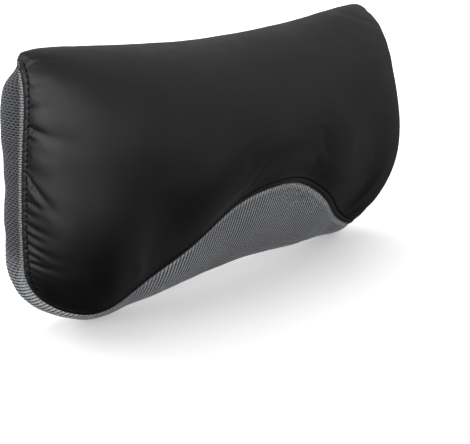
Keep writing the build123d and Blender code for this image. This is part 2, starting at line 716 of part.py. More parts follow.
def bracket_bolts():
    bolts = []
    for x, z in BRACKET_BOLTS:
        bolt = cyl_y(x, z, 3.0, -54.0, BOLT_FLANGE_Y)
        head = cyl_y(x, z, 5.0, BOLT_FLANGE_Y, -39.2)
        bolt += fillet(head.edges().group_by(Axis.Y)[-1], 1.2)
        bolt -= Pos(x, 0, z) * prism_y(hexagon(4.0), -41.2, -39.0)
        bolts.append(bolt)
    return bolts


def bracket_washers():
    return [cyl_y(x, z, 6.0, BOLT_FLANGE_Y - 1.05, BOLT_FLANGE_Y - 0.05)
            - cyl_y(x, z, 3.2, -44, -42) for x, z in BRACKET_BOLTS]


def tee_nuts():
    nuts = []
    for x, z in BRACKET_BOLTS:
        nut = cyl_y(x, z, 4.0, BOARD_Y0, -47.2)
        nut += cyl_y(x, z, 9.5, BOARD_Y0 - 1.5, BOARD_Y0 - 0.05)
        nut += cyl_y(x, z, 4.0, BOARD_Y0 - 0.1, BOARD_Y0)
        nuts.append(nut - cyl_y(x, z, 3.05, -60, -40))
    return nuts


def backing_board():
    board = block(-BOARD_HX, BOARD_HX, BOARD_Y0, BOARD_Y1, pad_z(BOARD_Z0), pad_z(BOARD_Z1))
    board = round_y_edges(board, 28)
    for x, z in BRACKET_BOLTS:
        board -= cyl_y(x, z, 4.05, -60, -40)
    for x, z in BEZEL_POSTS:
        board -= cyl_y(x, z, 1.75, -52, -45)
    return board


def tilt_bumpers():
    bumpers = []
    for side in SIDES:
        bumper = cyl_y(side * 22, pad_z(22), 7.0, BOARD_Y1, RAIL_Y0 - 0.15)
        bumpers.append(fillet(bumper.edges().group_by(Axis.Y)[-1], 2.0))
    return bumpers


# ---------------------------------------------------------------- pocket bezel
def pocket_bezel():
    """Rim on the rear panel, with walls and screw posts down to the board."""
    foot_y = BOARD_Y1 + 0.1
    rim = round_y_edges(window_block(16, REAR_Y, REAR_Y + 2.5), 9)
    rim = fillet(rim.faces().sort_by(Axis.Y)[-1].edges(), 1.2)
    bezel = rim + round_y_edges(window_block(2, foot_y, REAR_Y + 1), 6)
    for x, z in BEZEL_POSTS:
        bezel += cyl_y(x, z, 3.8, foot_y, REAR_Y + 0.5)
    bezel -= round_y_edges(window_block(0, -60, 0), 4)
    for x, z in BEZEL_POSTS:
        bezel -= cyl_y(x, z, 1.9, -50, -10)
        bezel -= cone_y(x, z, 1.9, 3.9, REAR_Y + 0.7, REAR_Y + 2.5)
    return bezel


def bezel_screws():
    """Countersunk screws with a cross recess."""
    screws = []
    for x, z in BEZEL_POSTS:
        screw = cyl_y(x, z, 1.7, -51.5, REAR_Y + 0.9)
        screw += cone_y(x, z, 1.7, 3.5, REAR_Y + 0.75, REAR_Y + 2.35)
        for hx, hz in ((2.4, 0.4), (0.4, 2.4)):
            screw -= block(x - hx, x + hx, REAR_Y + 1.5, REAR_Y + 3, z - hz, z + hz)
        screws.append(screw)
    return screws


# ---------------------------------------------------------------- zip
ZIP_MID = pad_z(ZIP_Z)
SLIDER_X = -ZIP_HX + 14.0    # slider rests at the closed end


def zip_block(x0, x1, y0, y1, half_z):
    """Block centred on the zip's height, y measured from the pad's rear face."""
    return block(x0, x1, REAR_Y + y0, REAR_Y + y1, ZIP_MID - half_z, ZIP_MID + half_z)


def zip_chain():
    chain = zip_block(-ZIP_HX, ZIP_HX, 0.05, 0.75, 6)
    ridge = [(0.7, -1.7), (1.7, -1.5), (2.1, -0.8), (2.1, 0.8), (1.7, 1.5), (0.7, 1.7)]
    chain += prism_x([(REAR_Y + y, ZIP_MID + z) for y, z in ridge], -ZIP_HX + 2, ZIP_HX - 2)
    for side in SIDES:    # end stops
        x = side * (ZIP_HX - 3)
        chain += zip_block(x - 1.2, x + 1.2, 0.7, 2.5, 2.4)
    return chain


def zip_slider():
    slider = round_y_edges(zip_block(SLIDER_X - 5.5, SLIDER_X + 5.5, 0.9, 3.6, 3.6), 1.6)
    slider -= zip_block(SLIDER_X - 8, SLIDER_X + 8, 0.5, 2.3, 2.0)
    bridge = zip_block(SLIDER_X - 2.6, SLIDER_X + 2.6, 3.4, 6.2, 0.9)
    bridge -= zip_block(SLIDER_X - 1.5, SLIDER_X + 1.5, 3.6, 5.3, 2)
    return slider + bridge


def zip_puller():
    """Pin along Z inside the slider's bridge, two arms and a plate with a hole."""
    y, half_z = 4.45, 2.6
    y0, y1 = y - 0.5, y + 0.5
    puller = cyl_z(SLIDER_X, REAR_Y + y, 0.7, ZIP_MID - half_z, ZIP_MID + half_z)
    arms = [block(SLIDER_X - 0.3, SLIDER_X + 4.2, REAR_Y + y0, REAR_Y + y1,
                  ZIP_MID + z0, ZIP_MID + z1) for z0, z1 in both_sides(1.5, half_z)]
    plate = zip_block(SLIDER_X + 3.8, SLIDER_X + 25, y0, y1, half_z)
    plate = fillet(plate.edges().filter_by(Axis.Y).group_by(Axis.X)[-1], 2.2)
    plate -= cyl_y(SLIDER_X + 21, ZIP_MID, 1.2, -30, 0)
    return puller + (arms[1] + arms[0]) + plate


# Each file takes the name of the function that builds its piece.
for make in (
    leather_cover, mesh_gusset, rear_panel, foam_core, fibre_wadding,
    mount_plate, slider_block, block_screws,
    release_button, button_return_spring, latch_bolt, latch_spring,
    rail_channel, rack_strip, rack_rivets, rail_end_stops,
    pivot_spacer, friction_washers, pad_bracket, pivot_bolt, disc_springs, lock_nut,
    bracket_bolts, bracket_washers, tee_nuts, backing_board, tilt_bumpers,
    pocket_bezel, bezel_screws, zip_chain, zip_slider, zip_puller,
):
    save(make.__name__, make())
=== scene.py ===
"""Stuffed pad on a sliding, tilting mount: soft parts, materials, floor, lights and camera.

X runs across the pad, -Y is its front and +Z is up. Lengths are in millimetres and become
metres when a mesh is made. The pad's heights are its own: PAD_Z is added to them then.
"""
import math
from contextlib import contextmanager

import bmesh
import bpy
import numpy as np
from mathutils import Matrix, Vector
from mathutils.kdtree import KDTree


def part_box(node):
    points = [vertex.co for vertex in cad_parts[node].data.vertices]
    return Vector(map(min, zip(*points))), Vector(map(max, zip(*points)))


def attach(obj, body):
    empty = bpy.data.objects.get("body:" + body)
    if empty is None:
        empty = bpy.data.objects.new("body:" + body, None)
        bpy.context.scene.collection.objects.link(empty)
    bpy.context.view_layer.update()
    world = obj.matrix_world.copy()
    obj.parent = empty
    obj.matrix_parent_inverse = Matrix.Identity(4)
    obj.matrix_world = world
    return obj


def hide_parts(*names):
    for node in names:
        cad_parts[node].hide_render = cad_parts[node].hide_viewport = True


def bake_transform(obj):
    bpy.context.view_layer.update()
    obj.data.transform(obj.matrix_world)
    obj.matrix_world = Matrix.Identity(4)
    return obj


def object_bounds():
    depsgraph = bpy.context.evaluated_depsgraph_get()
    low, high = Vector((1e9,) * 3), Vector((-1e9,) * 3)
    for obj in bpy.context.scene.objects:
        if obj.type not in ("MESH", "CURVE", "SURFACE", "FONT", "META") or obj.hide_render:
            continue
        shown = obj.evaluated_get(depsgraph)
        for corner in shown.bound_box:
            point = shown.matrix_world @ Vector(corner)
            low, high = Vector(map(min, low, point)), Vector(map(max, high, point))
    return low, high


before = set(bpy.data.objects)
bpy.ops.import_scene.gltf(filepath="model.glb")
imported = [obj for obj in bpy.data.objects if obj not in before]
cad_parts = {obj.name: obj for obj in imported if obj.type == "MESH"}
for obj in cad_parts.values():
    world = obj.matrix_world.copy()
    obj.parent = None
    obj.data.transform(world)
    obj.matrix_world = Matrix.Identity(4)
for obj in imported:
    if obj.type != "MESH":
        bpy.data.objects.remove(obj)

MM = 0.001
CAD_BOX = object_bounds()

# ---------------------------------------------------------------- pad dimensions
PAD_Z = -20.0                       # height of the pad's own zero
HALF_W, SIDE_BOW = 234.6, 4.3
Z_TOP, Z_LOW, CORNER_R = 105.1, -112.7, 51.7
LOW_SIDE = Z_LOW + CORNER_R         # where the straight side meets the lower corner
TIP_ROUND = 8.0                     # rounding of the two top corners
Y_SIDE, SIDE_LEAN = -37.2, -5.0
# the lower front edge, from the middle (0) to the side (1): height of the arch, and y
ARCH_AT = [0.0, 0.22, 0.42, 0.60, 0.78, 1.0]
ARCH = [88.1, 76.8, 48.3, 18.9, 0.9, 0.0]
ARCH_Y = [-109.2, -102.7, -94.9, -76.4, -65.4, Y_SIDE - SIDE_LEAN]
HORN, DIP = 1.8, 21.4               # rise of the top edge at its ends, sag of its middle
PILLOW_N, PILLOW_M = 3.34, 0.31     # exponents of the pillow's roundness across
# control rows of the front, from the top edge down: centre y, centre z, share of the way down
# the side, y step back from Y_SIDE at the side (None: it leans), share of the top edge's lift
FRONT_ROWS = [
    (-21.9, 107.5, 0.0, 14, 1),
    (-8.6, 128.8, 0.02, 8, 1),
    (-73.9, 113.8, 0.10, None, 0.8),
    (-118.5, 31.5, 0.45, None, 0),
    (-141.2, -39.2, 0.8, None, 0),
]
REAR_Y, REAR_LOW, REAR_ARCH, REAR_R, REAR_IN = -16.0, -115.4, 7.2, 62.0, 3.5
GUSSET_DEPTH, GUSSET_OUT, GUSSET_DIP = 42.0, 7.0, 4.5
EDGE_BAND = 14.0                    # width of the finely meshed band beside a seam
STITCH_IN, STITCH_PITCH = 5.2, 4.7  # topstitch: distance from the seam, and pitch
RIB, COURSE = 3.3, 3.1              # pitch of the spacer mesh along and across the strip
ZIP_Z, ZIP_HALF, TAPE_HALF = -97.0, 150.0, 6.0
WINDOW_Z, WINDOW_HALF = -5.0, (58.0, 74.0)   # opening in the rear lining: centre, half x and z


# ---------------------------------------------------------------- curves and noise
def smooth(x):
    """Smoothstep from 0 to 1."""
    x = np.clip(x, 0, 1)
    return x * x * (3 - 2 * x)


def bell(x):
    return np.exp(-(x**2))


def quarter_round(x):
    """Quarter circle that rises steeply from 0 and is level at 1."""
    return np.sqrt(np.maximum(0, 1 - (1 - np.clip(x, 0, 1)) ** 2))


def unit(vectors):
    return vectors / np.maximum(np.linalg.norm(vectors, axis=-1, keepdims=True), 1e-9)


def running(steps):
    """Running total that starts at zero, down the first axis."""
    return np.concatenate([np.zeros_like(steps[:1]), np.cumsum(steps, axis=0)])


def arc_length(path):
    return running(np.linalg.norm(np.diff(path, axis=0), axis=1))


def interp_columns(at, known, table):
    columns = [np.interp(at, known, table[:, k]) for k in range(table.shape[1])]
    return np.stack(columns, -1)


def resample(path, step):
    """Evenly spaced points of a polyline, and their distances along it."""
    length = arc_length(path)
    count = max(2, int(round(length[-1] / step)) + 1)
    at = np.linspace(0, length[-1], count)
    return interp_columns(at, length, path), at


def flat_end_spline(knots, values, x):
    """Cubic spline through the knots, level at both ends."""
    knots, values = np.asarray(knots, float), np.asarray(values, float)
    count = len(knots)
    gap = np.diff(knots)
    system, known = np.zeros((count, count)), np.zeros(count)
    system[0, 0] = system[-1, -1] = 1
    for i in range(1, count - 1):
        before, after = gap[i - 1], gap[i]
        system[i, i - 1] = 1 / before
        system[i, i] = 2 * (1 / before + 1 / after)
        system[i, i + 1] = 1 / after
        known[i] = 3 * ((values[i] - values[i - 1]) / before**2
                        + (values[i + 1] - values[i]) / after**2)
    slope = np.linalg.solve(system, known)
    x = np.clip(np.asarray(x, float), knots[0], knots[-1])
    j = np.clip(np.searchsorted(knots, x, side="right") - 1, 0, count - 2)
    part = (x - knots[j]) / gap[j]
    return ((2 * part**3 - 3 * part * part + 1) * values[j]
            + (part**3 - 2 * part * part + part) * gap[j] * slope[j]
            + (3 * part * part - 2 * part**3) * values[j + 1]
            + (part**3 - part * part) * gap[j] * slope[j + 1])


def bspline_matrix(count, at):
    """Weights of `count` control points at places 0..1 of a clamped cubic B-spline."""
    degree = 3
    knots = [0.0] * degree + list(np.linspace(0, 1, count - degree + 1)) + [1.0] * degree
    at = np.asarray(at, float)

    def basis(i, order):
        start, end = knots[i], knots[i + 1]
        if order == 0:
            weight = ((at >= start) & (at < end)).astype(float)
            if end == 1 and start < 1:
                weight = weight + (at == 1)
            return weight
        rising = falling = 0
        far_start, far_end = knots[i + order], knots[i + order + 1]
        if far_start > start:
            rising = (at - start) / (far_start - start) * basis(i, order - 1)
        if far_end > end:
            falling = (far_end - at) / (far_end - end) * basis(i + 1, order - 1)
        return rising + falling

    return np.stack([basis(i, degree) for i in range(count)], 1)


def bspline_sheet(controls, at):
    return np.einsum("mk,knd->mnd", bspline_matrix(len(controls), at), controls)


def value_noise(x, cell, seed):
    """Smooth noise in -1..1 along a line."""
    knots = np.random.default_rng(seed).uniform(-1, 1, int(np.max(x) / cell) + 4)
    i = np.floor(x / cell).astype(int)
    blend = smooth(x / cell - i)
    return knots[i] * (1 - blend) + knots[i + 1] * blend


def value_noise_2d(x, y, cell, seed):
    """Smooth noise in -1..1 over a square of 600 mm about the origin."""
    x, y = x + 300.0, y + 300.0
    count = int(600 / cell) + 4
    knots = np.random.default_rng(seed).uniform(-1, 1, (count, count))
    i, j = np.floor(x / cell).astype(int), np.floor(y / cell).astype(int)
    blend_x, blend_y = smooth(x / cell - i), smooth(y / cell - j)
    return ((knots[i, j] * (1 - blend_x) + knots[i + 1, j] * blend_x) * (1 - blend_y)
            + (knots[i, j + 1] * (1 - blend_x) + knots[i + 1, j + 1] * blend_x) * blend_y)


def nearest_on(path, points, chunk=4000):
    """Distance to a polyline's points and the index of the nearest one."""
    distance = np.empty(len(points))
    nearest = np.empty(len(points), int)
    for i in range(0, len(points), chunk):
        squares = ((points[i:i + chunk, None, :] - path[None]) ** 2).sum(2)
        nearest[i:i + chunk] = squares.argmin(1)
        distance[i:i + chunk] = np.sqrt(squares.min(1))
    return distance, nearest


def grid_normals(grid):
    return unit(np.cross(np.gradient(grid, axis=1), np.gradient(grid, axis=0)))


# ---------------------------------------------------------------- pad surface
def lower_edge(low, arch, half_width, radius, x):
    """Height of an arched lower edge that turns up in a round corner at each side."""
    into_corner = np.clip(np.abs(x) - (half_width - radius), 0, radius)
    return low + arch + radius - np.sqrt(np.maximum(radius**2 - into_corner**2, 0))


def rear_edge_height(x, half_width):
    heights = [REAR_ARCH, REAR_ARCH * 0.75, REAR_ARCH * 0.2, 0]
    arch = flat_end_spline([0, 0.3, 0.6, 1.0], heights, np.abs(x) / half_width)
    return lower_edge(REAR_LOW, arch, half_width, REAR_R, x)


def leather_controls(x):
    """y and z of the six control rows of the front panel at each x."""
    share = np.clip(np.abs(x) / HALF_W, 0, 1 - 1e-9)
    arch = flat_end_spline(ARCH_AT, ARCH, share)
    edge_z = lower_edge(Z_LOW, arch, HALF_W, CORNER_R, x)
    edge_y = flat_end_spline(ARCH_AT, ARCH_Y, share)
    fullness = np.maximum(1 - share**PILLOW_N, 1e-12) ** PILLOW_M
    lift = HORN * bell((1 - share) / 0.10) - DIP * (1 - share**2)
    rows = []
    for centre_y, centre_z, drop, step_back, lifted in FRONT_ROWS:
        side_y = Y_SIDE + (SIDE_LEAN * (1 - 2 * drop) if step_back is None else step_back)
        side_z = Z_TOP + (LOW_SIDE - Z_TOP) * drop
        y = side_y + (centre_y - side_y) * fullness
        z = side_z + (centre_z - side_z) * smooth(fullness)
        rows.append([y, z + lift * lifted])
    # the two lowest rows follow the arch over the middle of the pad
    middle = 1 - smooth((share - 0.64) / 0.26)
    outward = smooth(share / 0.6)
    y, z = rows[4]
    z = z + (arch - ARCH[0]) * 0.45 * fullness
    rows[4] = [y * (1 - middle) + (edge_y - 16 - 11 * outward) * middle,
               z * (1 - middle) + (edge_z + 30 + 7 * outward) * middle]
    rows[3] = [rows[3][0] - 10 * middle, rows[3][1] - 12 * middle]
    rows.append([edge_y, edge_z])
    return np.array([np.stack(row, -1) for row in rows])


def round_top_corners(grid):
    """The cloth can't fold to a point, so the two top corners are rounded."""
    radius = TIP_ROUND
    across = np.clip((np.abs(grid[..., 0]) - (HALF_W - radius)) / radius, 0, 1.2)
    upward = np.clip((grid[..., 2] - (Z_TOP - radius)) / radius, 0, 1.2)
    rounded = grid.copy()
    rounded[..., 0] -= (np.sign(grid[..., 0]) * radius * across
                        * (1 - np.sqrt(1 - upward * upward / 2)))
    rounded[..., 2] -= radius * upward * (1 - np.sqrt(1 - across * across / 2))
    return rounded


def leather_grid(x, rows):
    """Front panel: one column per x, one row per place from the top edge (0) to the seam (1)."""
    section = bspline_sheet(leather_controls(x), rows)
    grid = np.zeros((len(rows), len(x), 3))
    grid[..., 0] = x
    grid[..., 1:] = section
    share = np.abs(x) / HALF_W
    height = (section[..., 1] - LOW_SIDE) / (Z_TOP - LOW_SIDE)
    grid[..., 0] += np.sign(x) * SIDE_BOW * np.clip(4 * height * (1 - height), 0, 1) * share**6
    return round_top_corners(grid)


def spaced_values(length, values, step, edge_step):
    """Values at even steps of length, closer together towards the far end."""
    total = length[-1]
    marks = [total]
    while marks[-1] > 0:
        ease = smooth((total - marks[-1] - EDGE_BAND) / (2 * EDGE_BAND))
        marks.append(marks[-1] - (edge_step + (step - edge_step) * ease))
    marks = np.array(marks[:-1][::-1])
    marks = np.concatenate([[0], marks[marks > step * 0.5]])
    return np.interp(marks, length, values)


def leather_stations(step, edge_step):
    """x stations spaced evenly along the cloth, closer together beside the side seams."""
    even = np.linspace(0, 1, 900)
    near_side = (1 - np.clip(even, 1e-6, 1) ** (1 / PILLOW_M)) ** (1 / PILLOW_N)
    share = np.unique(np.round(np.concatenate([even, near_side, [0.0, 1.0]]), 9))
    share = share[(share >= 0) & (share <= 1)]
    grid = leather_grid(share * HALF_W, np.linspace(0.15, 1.0, 12))
    steps = np.linalg.norm(np.diff(grid, axis=1), axis=2)
    length = running(np.percentile(steps, 80, axis=0))
    half = spaced_values(length, share * HALF_W, step, edge_step)
    half[-1] = HALF_W
    return np.concatenate([-half[:0:-1], half])


def leather_rows(step, edge_step):
    places = np.linspace(0, 1, 1200)
    grid = leather_grid(np.array([0.0, 90.0, 150.0]), places)
    length = running(np.linalg.norm(np.diff(grid, axis=0), axis=2).max(1))
    rows = spaced_values(length, places, step, edge_step)
    rows[-1] = 1.0
    return rows


def rear_outline(front):
    """Rear edge of the mesh strip for each point of the leather's seam."""
    half = HALF_W - REAR_IN
    x, y, z = front.T
    rear_x = x * half / HALF_W
    on_side = (z > LOW_SIDE + 1e-6) & (np.abs(x) > HALF_W - 10)
    drop = (Z_TOP - z) / (Z_TOP - LOW_SIDE)
    side_z = Z_TOP + (REAR_LOW + REAR_R - Z_TOP) * drop
    side_y = y + (REAR_Y - y) * quarter_round((Z_TOP - side_z) / 30)
    rear_z = rear_edge_height(rear_x, half)
    return np.stack([rear_x, np.where(on_side, side_y, REAR_Y),
                     np.where(on_side, side_z, rear_z)], -1)


def gusset_controls(front, rear):
    """Five control rows of the mesh strip, from the leather's seam to the rear edge."""
    tangent = unit(np.gradient(rear[:, [0, 2]], axis=0))
    outward = np.stack([tangent[:, 1], np.zeros(len(front)), -tangent[:, 0]], -1)
    if outward[len(front) // 2, 2] > 0:
        outward = -outward
    depth = rear[:, 1] - front[:, 1]
    reach = np.minimum(0.5 * depth, GUSSET_DEPTH)[:, None]
    full = smooth(depth / 14.0)[:, None] * smooth((Z_TOP + 2 - front[:, 2]) / 27.0)[:, None]
    middle = rear - reach * np.array([0.0, 1.0, 0.0]) + outward * GUSSET_OUT * full
    wide = smooth((depth - 35) / 40)[:, None]
    first = front + 0.5 * (middle - front) - wide * GUSSET_DIP * np.array([0.0, 1.0, 1.0])
    first = first + outward * GUSSET_OUT * full * (1 - wide) * 0.22
    last = middle + 0.5 * (rear - middle) + outward * GUSSET_OUT * 0.6 * full
    return np.stack([front, first, middle, last, rear], 0)


# ---------------------------------------------------------------- mesh helpers
def make_object(name, verts, faces, material=None, lift=PAD_Z, attributes=None):
    """Smooth-shaded object from millimetre vertices, with point vectors as attributes."""
    points = np.array(verts, float)
    points[:, 2] += lift
    mesh = bpy.data.meshes.new(name)
    mesh.from_pydata((points * MM).tolist(), [], [tuple(int(i) for i in f) for f in faces])
    mesh.validate(clean_customdata=False)
    mesh.update()
    for key, values in (attributes or {}).items():
        layer = mesh.attributes.new(key, "FLOAT_VECTOR", "POINT")
        layer.data.foreach_set("vector", np.asarray(values, np.float32).ravel())
    obj = link_object(name, mesh)
    if material:
        mesh.materials.append(material)
    shade(obj, True)
    return obj


def link_object(name, data):
    obj = bpy.data.objects.new(name, data)
    bpy.context.scene.collection.objects.link(obj)
    return obj


def shade(obj, is_smooth):
    obj.data.polygons.foreach_set("use_smooth", [is_smooth] * len(obj.data.polygons))


def apply_modifiers(obj):
    graph = bpy.context.evaluated_depsgraph_get()
    mesh = bpy.data.meshes.new_from_object(obj.evaluated_get(graph),
                                           preserve_all_data_layers=True, depsgraph=graph)
    obj.modifiers.clear()
    old = obj.data
    obj.data = mesh
    mesh.name = obj.name
    bpy.data.meshes.remove(old)


def solidify(obj, thickness):
    """Thickens a sheet away from its face normals."""
    modifier = obj.modifiers.new("thick", "SOLIDIFY")
    modifier.thickness = thickness * MM
    modifier.offset = -1.0
    modifier.use_even_offset = False
    apply_modifiers(obj)


@contextmanager
def bmesh_of(obj):
    body = bmesh.new()
    body.from_mesh(obj.data)
    yield body
    body.to_mesh(obj.data)
    body.free()


def recalc_normals(body):
    bmesh.ops.recalc_face_normals(body, faces=body.faces)


def reverse_faces(body):
    bmesh.ops.reverse_faces(body, faces=body.faces)


def faces_forward(body):
    return sum(face.normal.y for face in body.faces) < 0


def fix_normals(obj, is_reversed=None, recalc=True, merge=None):
    """Makes the normals agree, and turns them over where is_reversed says so."""
    with bmesh_of(obj) as body:
        if merge:
            bmesh.ops.remove_doubles(body, verts=body.verts, dist=merge)
        if recalc:
            recalc_normals(body)
        if is_reversed and is_reversed(body):
            reverse_faces(body)


def grid_faces(rows, columns, start=0, flip=False):
    i, j = np.meshgrid(np.arange(rows - 1), np.arange(columns - 1), indexing="ij")
    corner = start + i * columns + j
    quads = np.stack([corner, corner + 1, corner + columns + 1, corner + columns], -1)
    quads = quads.reshape(-1, 4)
    return quads[:, ::-1] if flip else quads


def tube_quads(rings, sides, start=0):
    """Quads between closed rings of vertices that follow each other."""
    quads = []
    for ring in range(start, start + (rings - 1) * sides, sides):
        for j in range(sides):
            here, beside = ring + j, ring + (j + 1) % sides
            quads.append((here, beside, beside + sides, here + sides))
    return quads


def make_bars(name, bars, sides, material, lift=PAD_Z):
    """Capped round bars; each is (centres, radii, first and second axis of its rings)."""
    turn = 2 * np.pi * np.arange(sides)[:, None] / sides
    verts, faces = [], []
    for centres, radii, first, second in bars:
        start, rings = len(verts), len(centres)
        first, second = (np.broadcast_to(v, centres.shape)[:, None] for v in (first, second))
        radii = np.broadcast_to(radii, rings)[:, None, None]
        ring = np.cos(turn) * first + np.sin(turn) * second
        verts.extend((centres[:, None] + radii * ring).reshape(-1, 3))
        faces += tube_quads(rings, sides, start)
        last = start + (rings - 1) * sides
        faces.append(tuple(range(start + sides - 1, start - 1, -1)))
        faces.append(tuple(range(last, last + sides)))
    return make_object(name, verts, faces, material, lift=lift)


def loft(sections, stations):
    """Closed body through y-z loops at the given x, with a fan at each end."""
    count = len(sections[0])
    verts = [(x, y, z) for x, section in zip(stations, sections) for y, z in section]
    faces = tube_quads(len(stations), count)
    for i in (0, len(stations) - 1):
        hub = len(verts)
        verts.append((stations[i], *np.mean(sections[i], 0)))
        faces += [(hub, i * count + j, i * count + (j + 1) % count) for j in range(count)]
    return np.array(verts), faces


def body_sections(stations, inset, front_count=30, strip_count=12, back_count=14):
    """Closed y-z loops round the whole pad at each x, drawn in by inset."""
    columns = leather_grid(stations, np.linspace(0, 1, front_count))
    sections = []
    for j, low_z in enumerate(rear_edge_height(stations, HALF_W)):
        column = columns[:, j, 1:]
        seam_y, seam_z = column[-1]
        depth = min(0.5 * (REAR_Y - seam_y), GUSSET_DEPTH)
        controls = np.array([
            [seam_y, seam_z],
            [(seam_y + REAR_Y - depth) / 2 - 2, (seam_z + low_z - 3) / 2],
            [REAR_Y - depth, low_z - 3],
            [REAR_Y - depth / 2, low_z - 2],
            [REAR_Y, low_z]])
        strip = bspline_matrix(5, np.linspace(0, 1, strip_count)) @ controls
        back = np.linspace([REAR_Y, low_z], [REAR_Y, column[0, 1] - 4], back_count)
        loop = np.concatenate([column, strip[1:], back[1:]])
        after = np.roll(loop, -1, 0)
        tangent = unit(after - np.roll(loop, 1, 0))
        normal = np.stack([tangent[:, 1], -tangent[:, 0]], -1)
        turning = np.sign(np.sum(loop[:, 0] * after[:, 1] - after[:, 0] * loop[:, 1]))
        sections.append(loop - normal * inset * turning)
    return sections


def side_weighted(count, bend, half_width):
    """x stations that crowd towards both sides; bend is how strongly."""
    share = np.linspace(-1, 1, count)
    return (bend * np.sin(np.pi / 2 * share) + (1 - bend) * share) * half_width


def fit_to_pad(obj, replaced=None):
    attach(obj, "pad")
    if replaced:
        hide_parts(replaced)


# ---------------------------------------------------------------- node helpers
class Nodes:
    """Short calls for building a node tree; inputs take sockets or plain values."""

    def __init__(self, tree):
        self.tree = tree

    def put(self, socket, value):
        if hasattr(value, "is_output"):
            self.tree.links.new(value, socket)
        elif value is not None:
            socket.default_value = (*value, 1.0) if socket.type == "RGBA" else value

    def node(self, kind, inputs=None, **settings):
        made = self.tree.nodes.new("ShaderNode" + kind)
        for key, value in settings.items():
            setattr(made, key, value)
        for key, value in (inputs or {}).items():
            self.put(made.inputs[key], value)
        return made

    def math(self, operation, *values, clamp=False):
        inputs = dict(enumerate(values))
        return self.node("Math", inputs, operation=operation, use_clamp=clamp).outputs[0]

    def add(self, first, second, clamp=False):
        return self.math("ADD", first, second, clamp=clamp)

    def sub(self, first, second):
        return self.math("SUBTRACT", first, second)

    def mul(self, first, second):
        return self.math("MULTIPLY", first, second)

    def xyz(self, vector):
        return self.node("SeparateXYZ", {0: vector}).outputs

    def span(self, value, over, to=(0, 1)):
        """Maps the range `over` to the range `to`, clamped."""
        return self.node("MapRange", dict(enumerate((value, *over, *to)))).outputs[0]


class Material(Nodes):
    """A material with one principled surface; textures default to object coordinates."""

    def __init__(self, name):
        self.material = bpy.data.materials.new(name)
        self.material.use_nodes = True
        super().__init__(self.material.node_tree)
        self.tree.nodes.clear()
        output = self.node("OutputMaterial")
        self.surface = self.node("BsdfPrincipled")
        self.put(output.inputs[0], self.surface.outputs[0])
        self.point = self.coords()

    def coords(self):
        return self.node("TexCoord").outputs["Object"]

    def attribute(self, name):
        return self.node("Attribute", attribute_name=name).outputs["Vector"]

    def scaled(self, factors):
        inputs = {0: self.point, 1: factors}
        return self.node("VectorMath", inputs, operation="MULTIPLY").outputs[0]

    def noise(self, scale, detail=3.0, rough=0.5, distortion=0.0, stretch=None):
        return self.node("TexNoise", {
            "Vector": self.scaled(stretch) if stretch else self.point, "Scale": scale,
            "Detail": detail, "Roughness": rough, "Distortion": distortion}).outputs[0]

    def voronoi(self, scale, feature="F1"):
        inputs = {"Vector": self.point, "Scale": scale, "Randomness": 1.0}
        return self.node("TexVoronoi", inputs, feature=feature).outputs["Distance"]

    def mix(self, factor, first, second):
        return self.node("Mix", {0: factor, 6: first, 7: second}, data_type="RGBA").outputs[2]

    def weighted(self, *terms):
        """Sum of (socket, weight) pairs."""
        total, *others = [self.mul(socket, weight) for socket, weight in terms]
        for other in others:
            total = self.add(total, other)
        return total

    def bump(self, height, strength, depth, normal=None):
        """Bump of the given depth in millimetres."""
        return self.node("Bump", {"Strength": strength, "Distance": depth * MM,
                                  "Height": height, "Normal": normal}).outputs[0]

    def finish(self, **values):
        sockets = {s.name.lower().replace(" ", "_"): s for s in self.surface.inputs}
        for key, value in values.items():
            self.put(sockets[key], value)
        return self.material


def tint(colour, factor, plus=0.0):
    return tuple(min(1.0, channel * factor + plus) for channel in colour)


# ---------------------------------------------------------------- materials
def leather_material():
    """Near-black leather with two sizes of grain, pores and wiped patches."""
    mat = Material("pu_leather")
    cloudy = mat.noise(scale=14.0, detail=4.0, rough=0.55)
    coarse = mat.voronoi(scale=1150.0, feature="DISTANCE_TO_EDGE")
    small = mat.voronoi(scale=2300.0, feature="DISTANCE_TO_EDGE")
    pores = mat.noise(scale=900.0, detail=3.0, rough=0.6)
    grain = mat.weighted((mat.span(coarse, over=(0.0, 0.16)), 0.6),
                         (mat.span(small, over=(0.0, 0.2)), 0.3), (pores, 0.35))
    base = mat.mix(mat.span(cloudy, over=(0.35, 0.7)),
                   (0.0022, 0.0021, 0.0025), (0.0034, 0.0033, 0.0038))
    in_grain = mat.span(grain, over=(0.2, 0.8), to=(0.35, 0.0))
    base = mat.mix(in_grain, base, (0.0018, 0.0018, 0.0020))
    wiped = mat.noise(scale=30.0, detail=5.0, rough=0.6, stretch=(1.0, 1.0, 2.4))
    rough = mat.add(mat.span(cloudy, over=(0.3, 0.7), to=(0.37, 0.46)),
                    mat.span(wiped, over=(0.35, 0.7), to=(-0.03, 0.05)))
    normal = mat.bump(grain, strength=0.22, depth=0.10)
    waves = mat.noise(scale=130.0, detail=2.0, rough=0.5)
    normal = mat.bump(waves, strength=0.10, depth=0.35, normal=normal)
    return mat.finish(base_color=base, roughness=rough, normal=normal, specular_ior_level=0.60,
                      coat_weight=0.05, coat_roughness=0.32,
                      sheen_weight=0.01, sheen_roughness=0.5)


def thread_material(name, colour):
    mat = Material(name)
    ply = mat.node("TexWave", {"Vector": mat.scaled((1.0, 1.0, 1.0)), "Scale": 900.0,
                               "Distortion": 1.0, "Detail": 0.0},
                   bands_direction="DIAGONAL").outputs["Fac"]
    return mat.finish(base_color=mat.mix(ply, colour, tint(colour, 0.35)),
                      roughness=mat.span(ply, over=(0, 1), to=(0.75, 0.95)),
                      normal=mat.bump(ply, strength=0.5, depth=0.08), specular_ior_level=0.12)


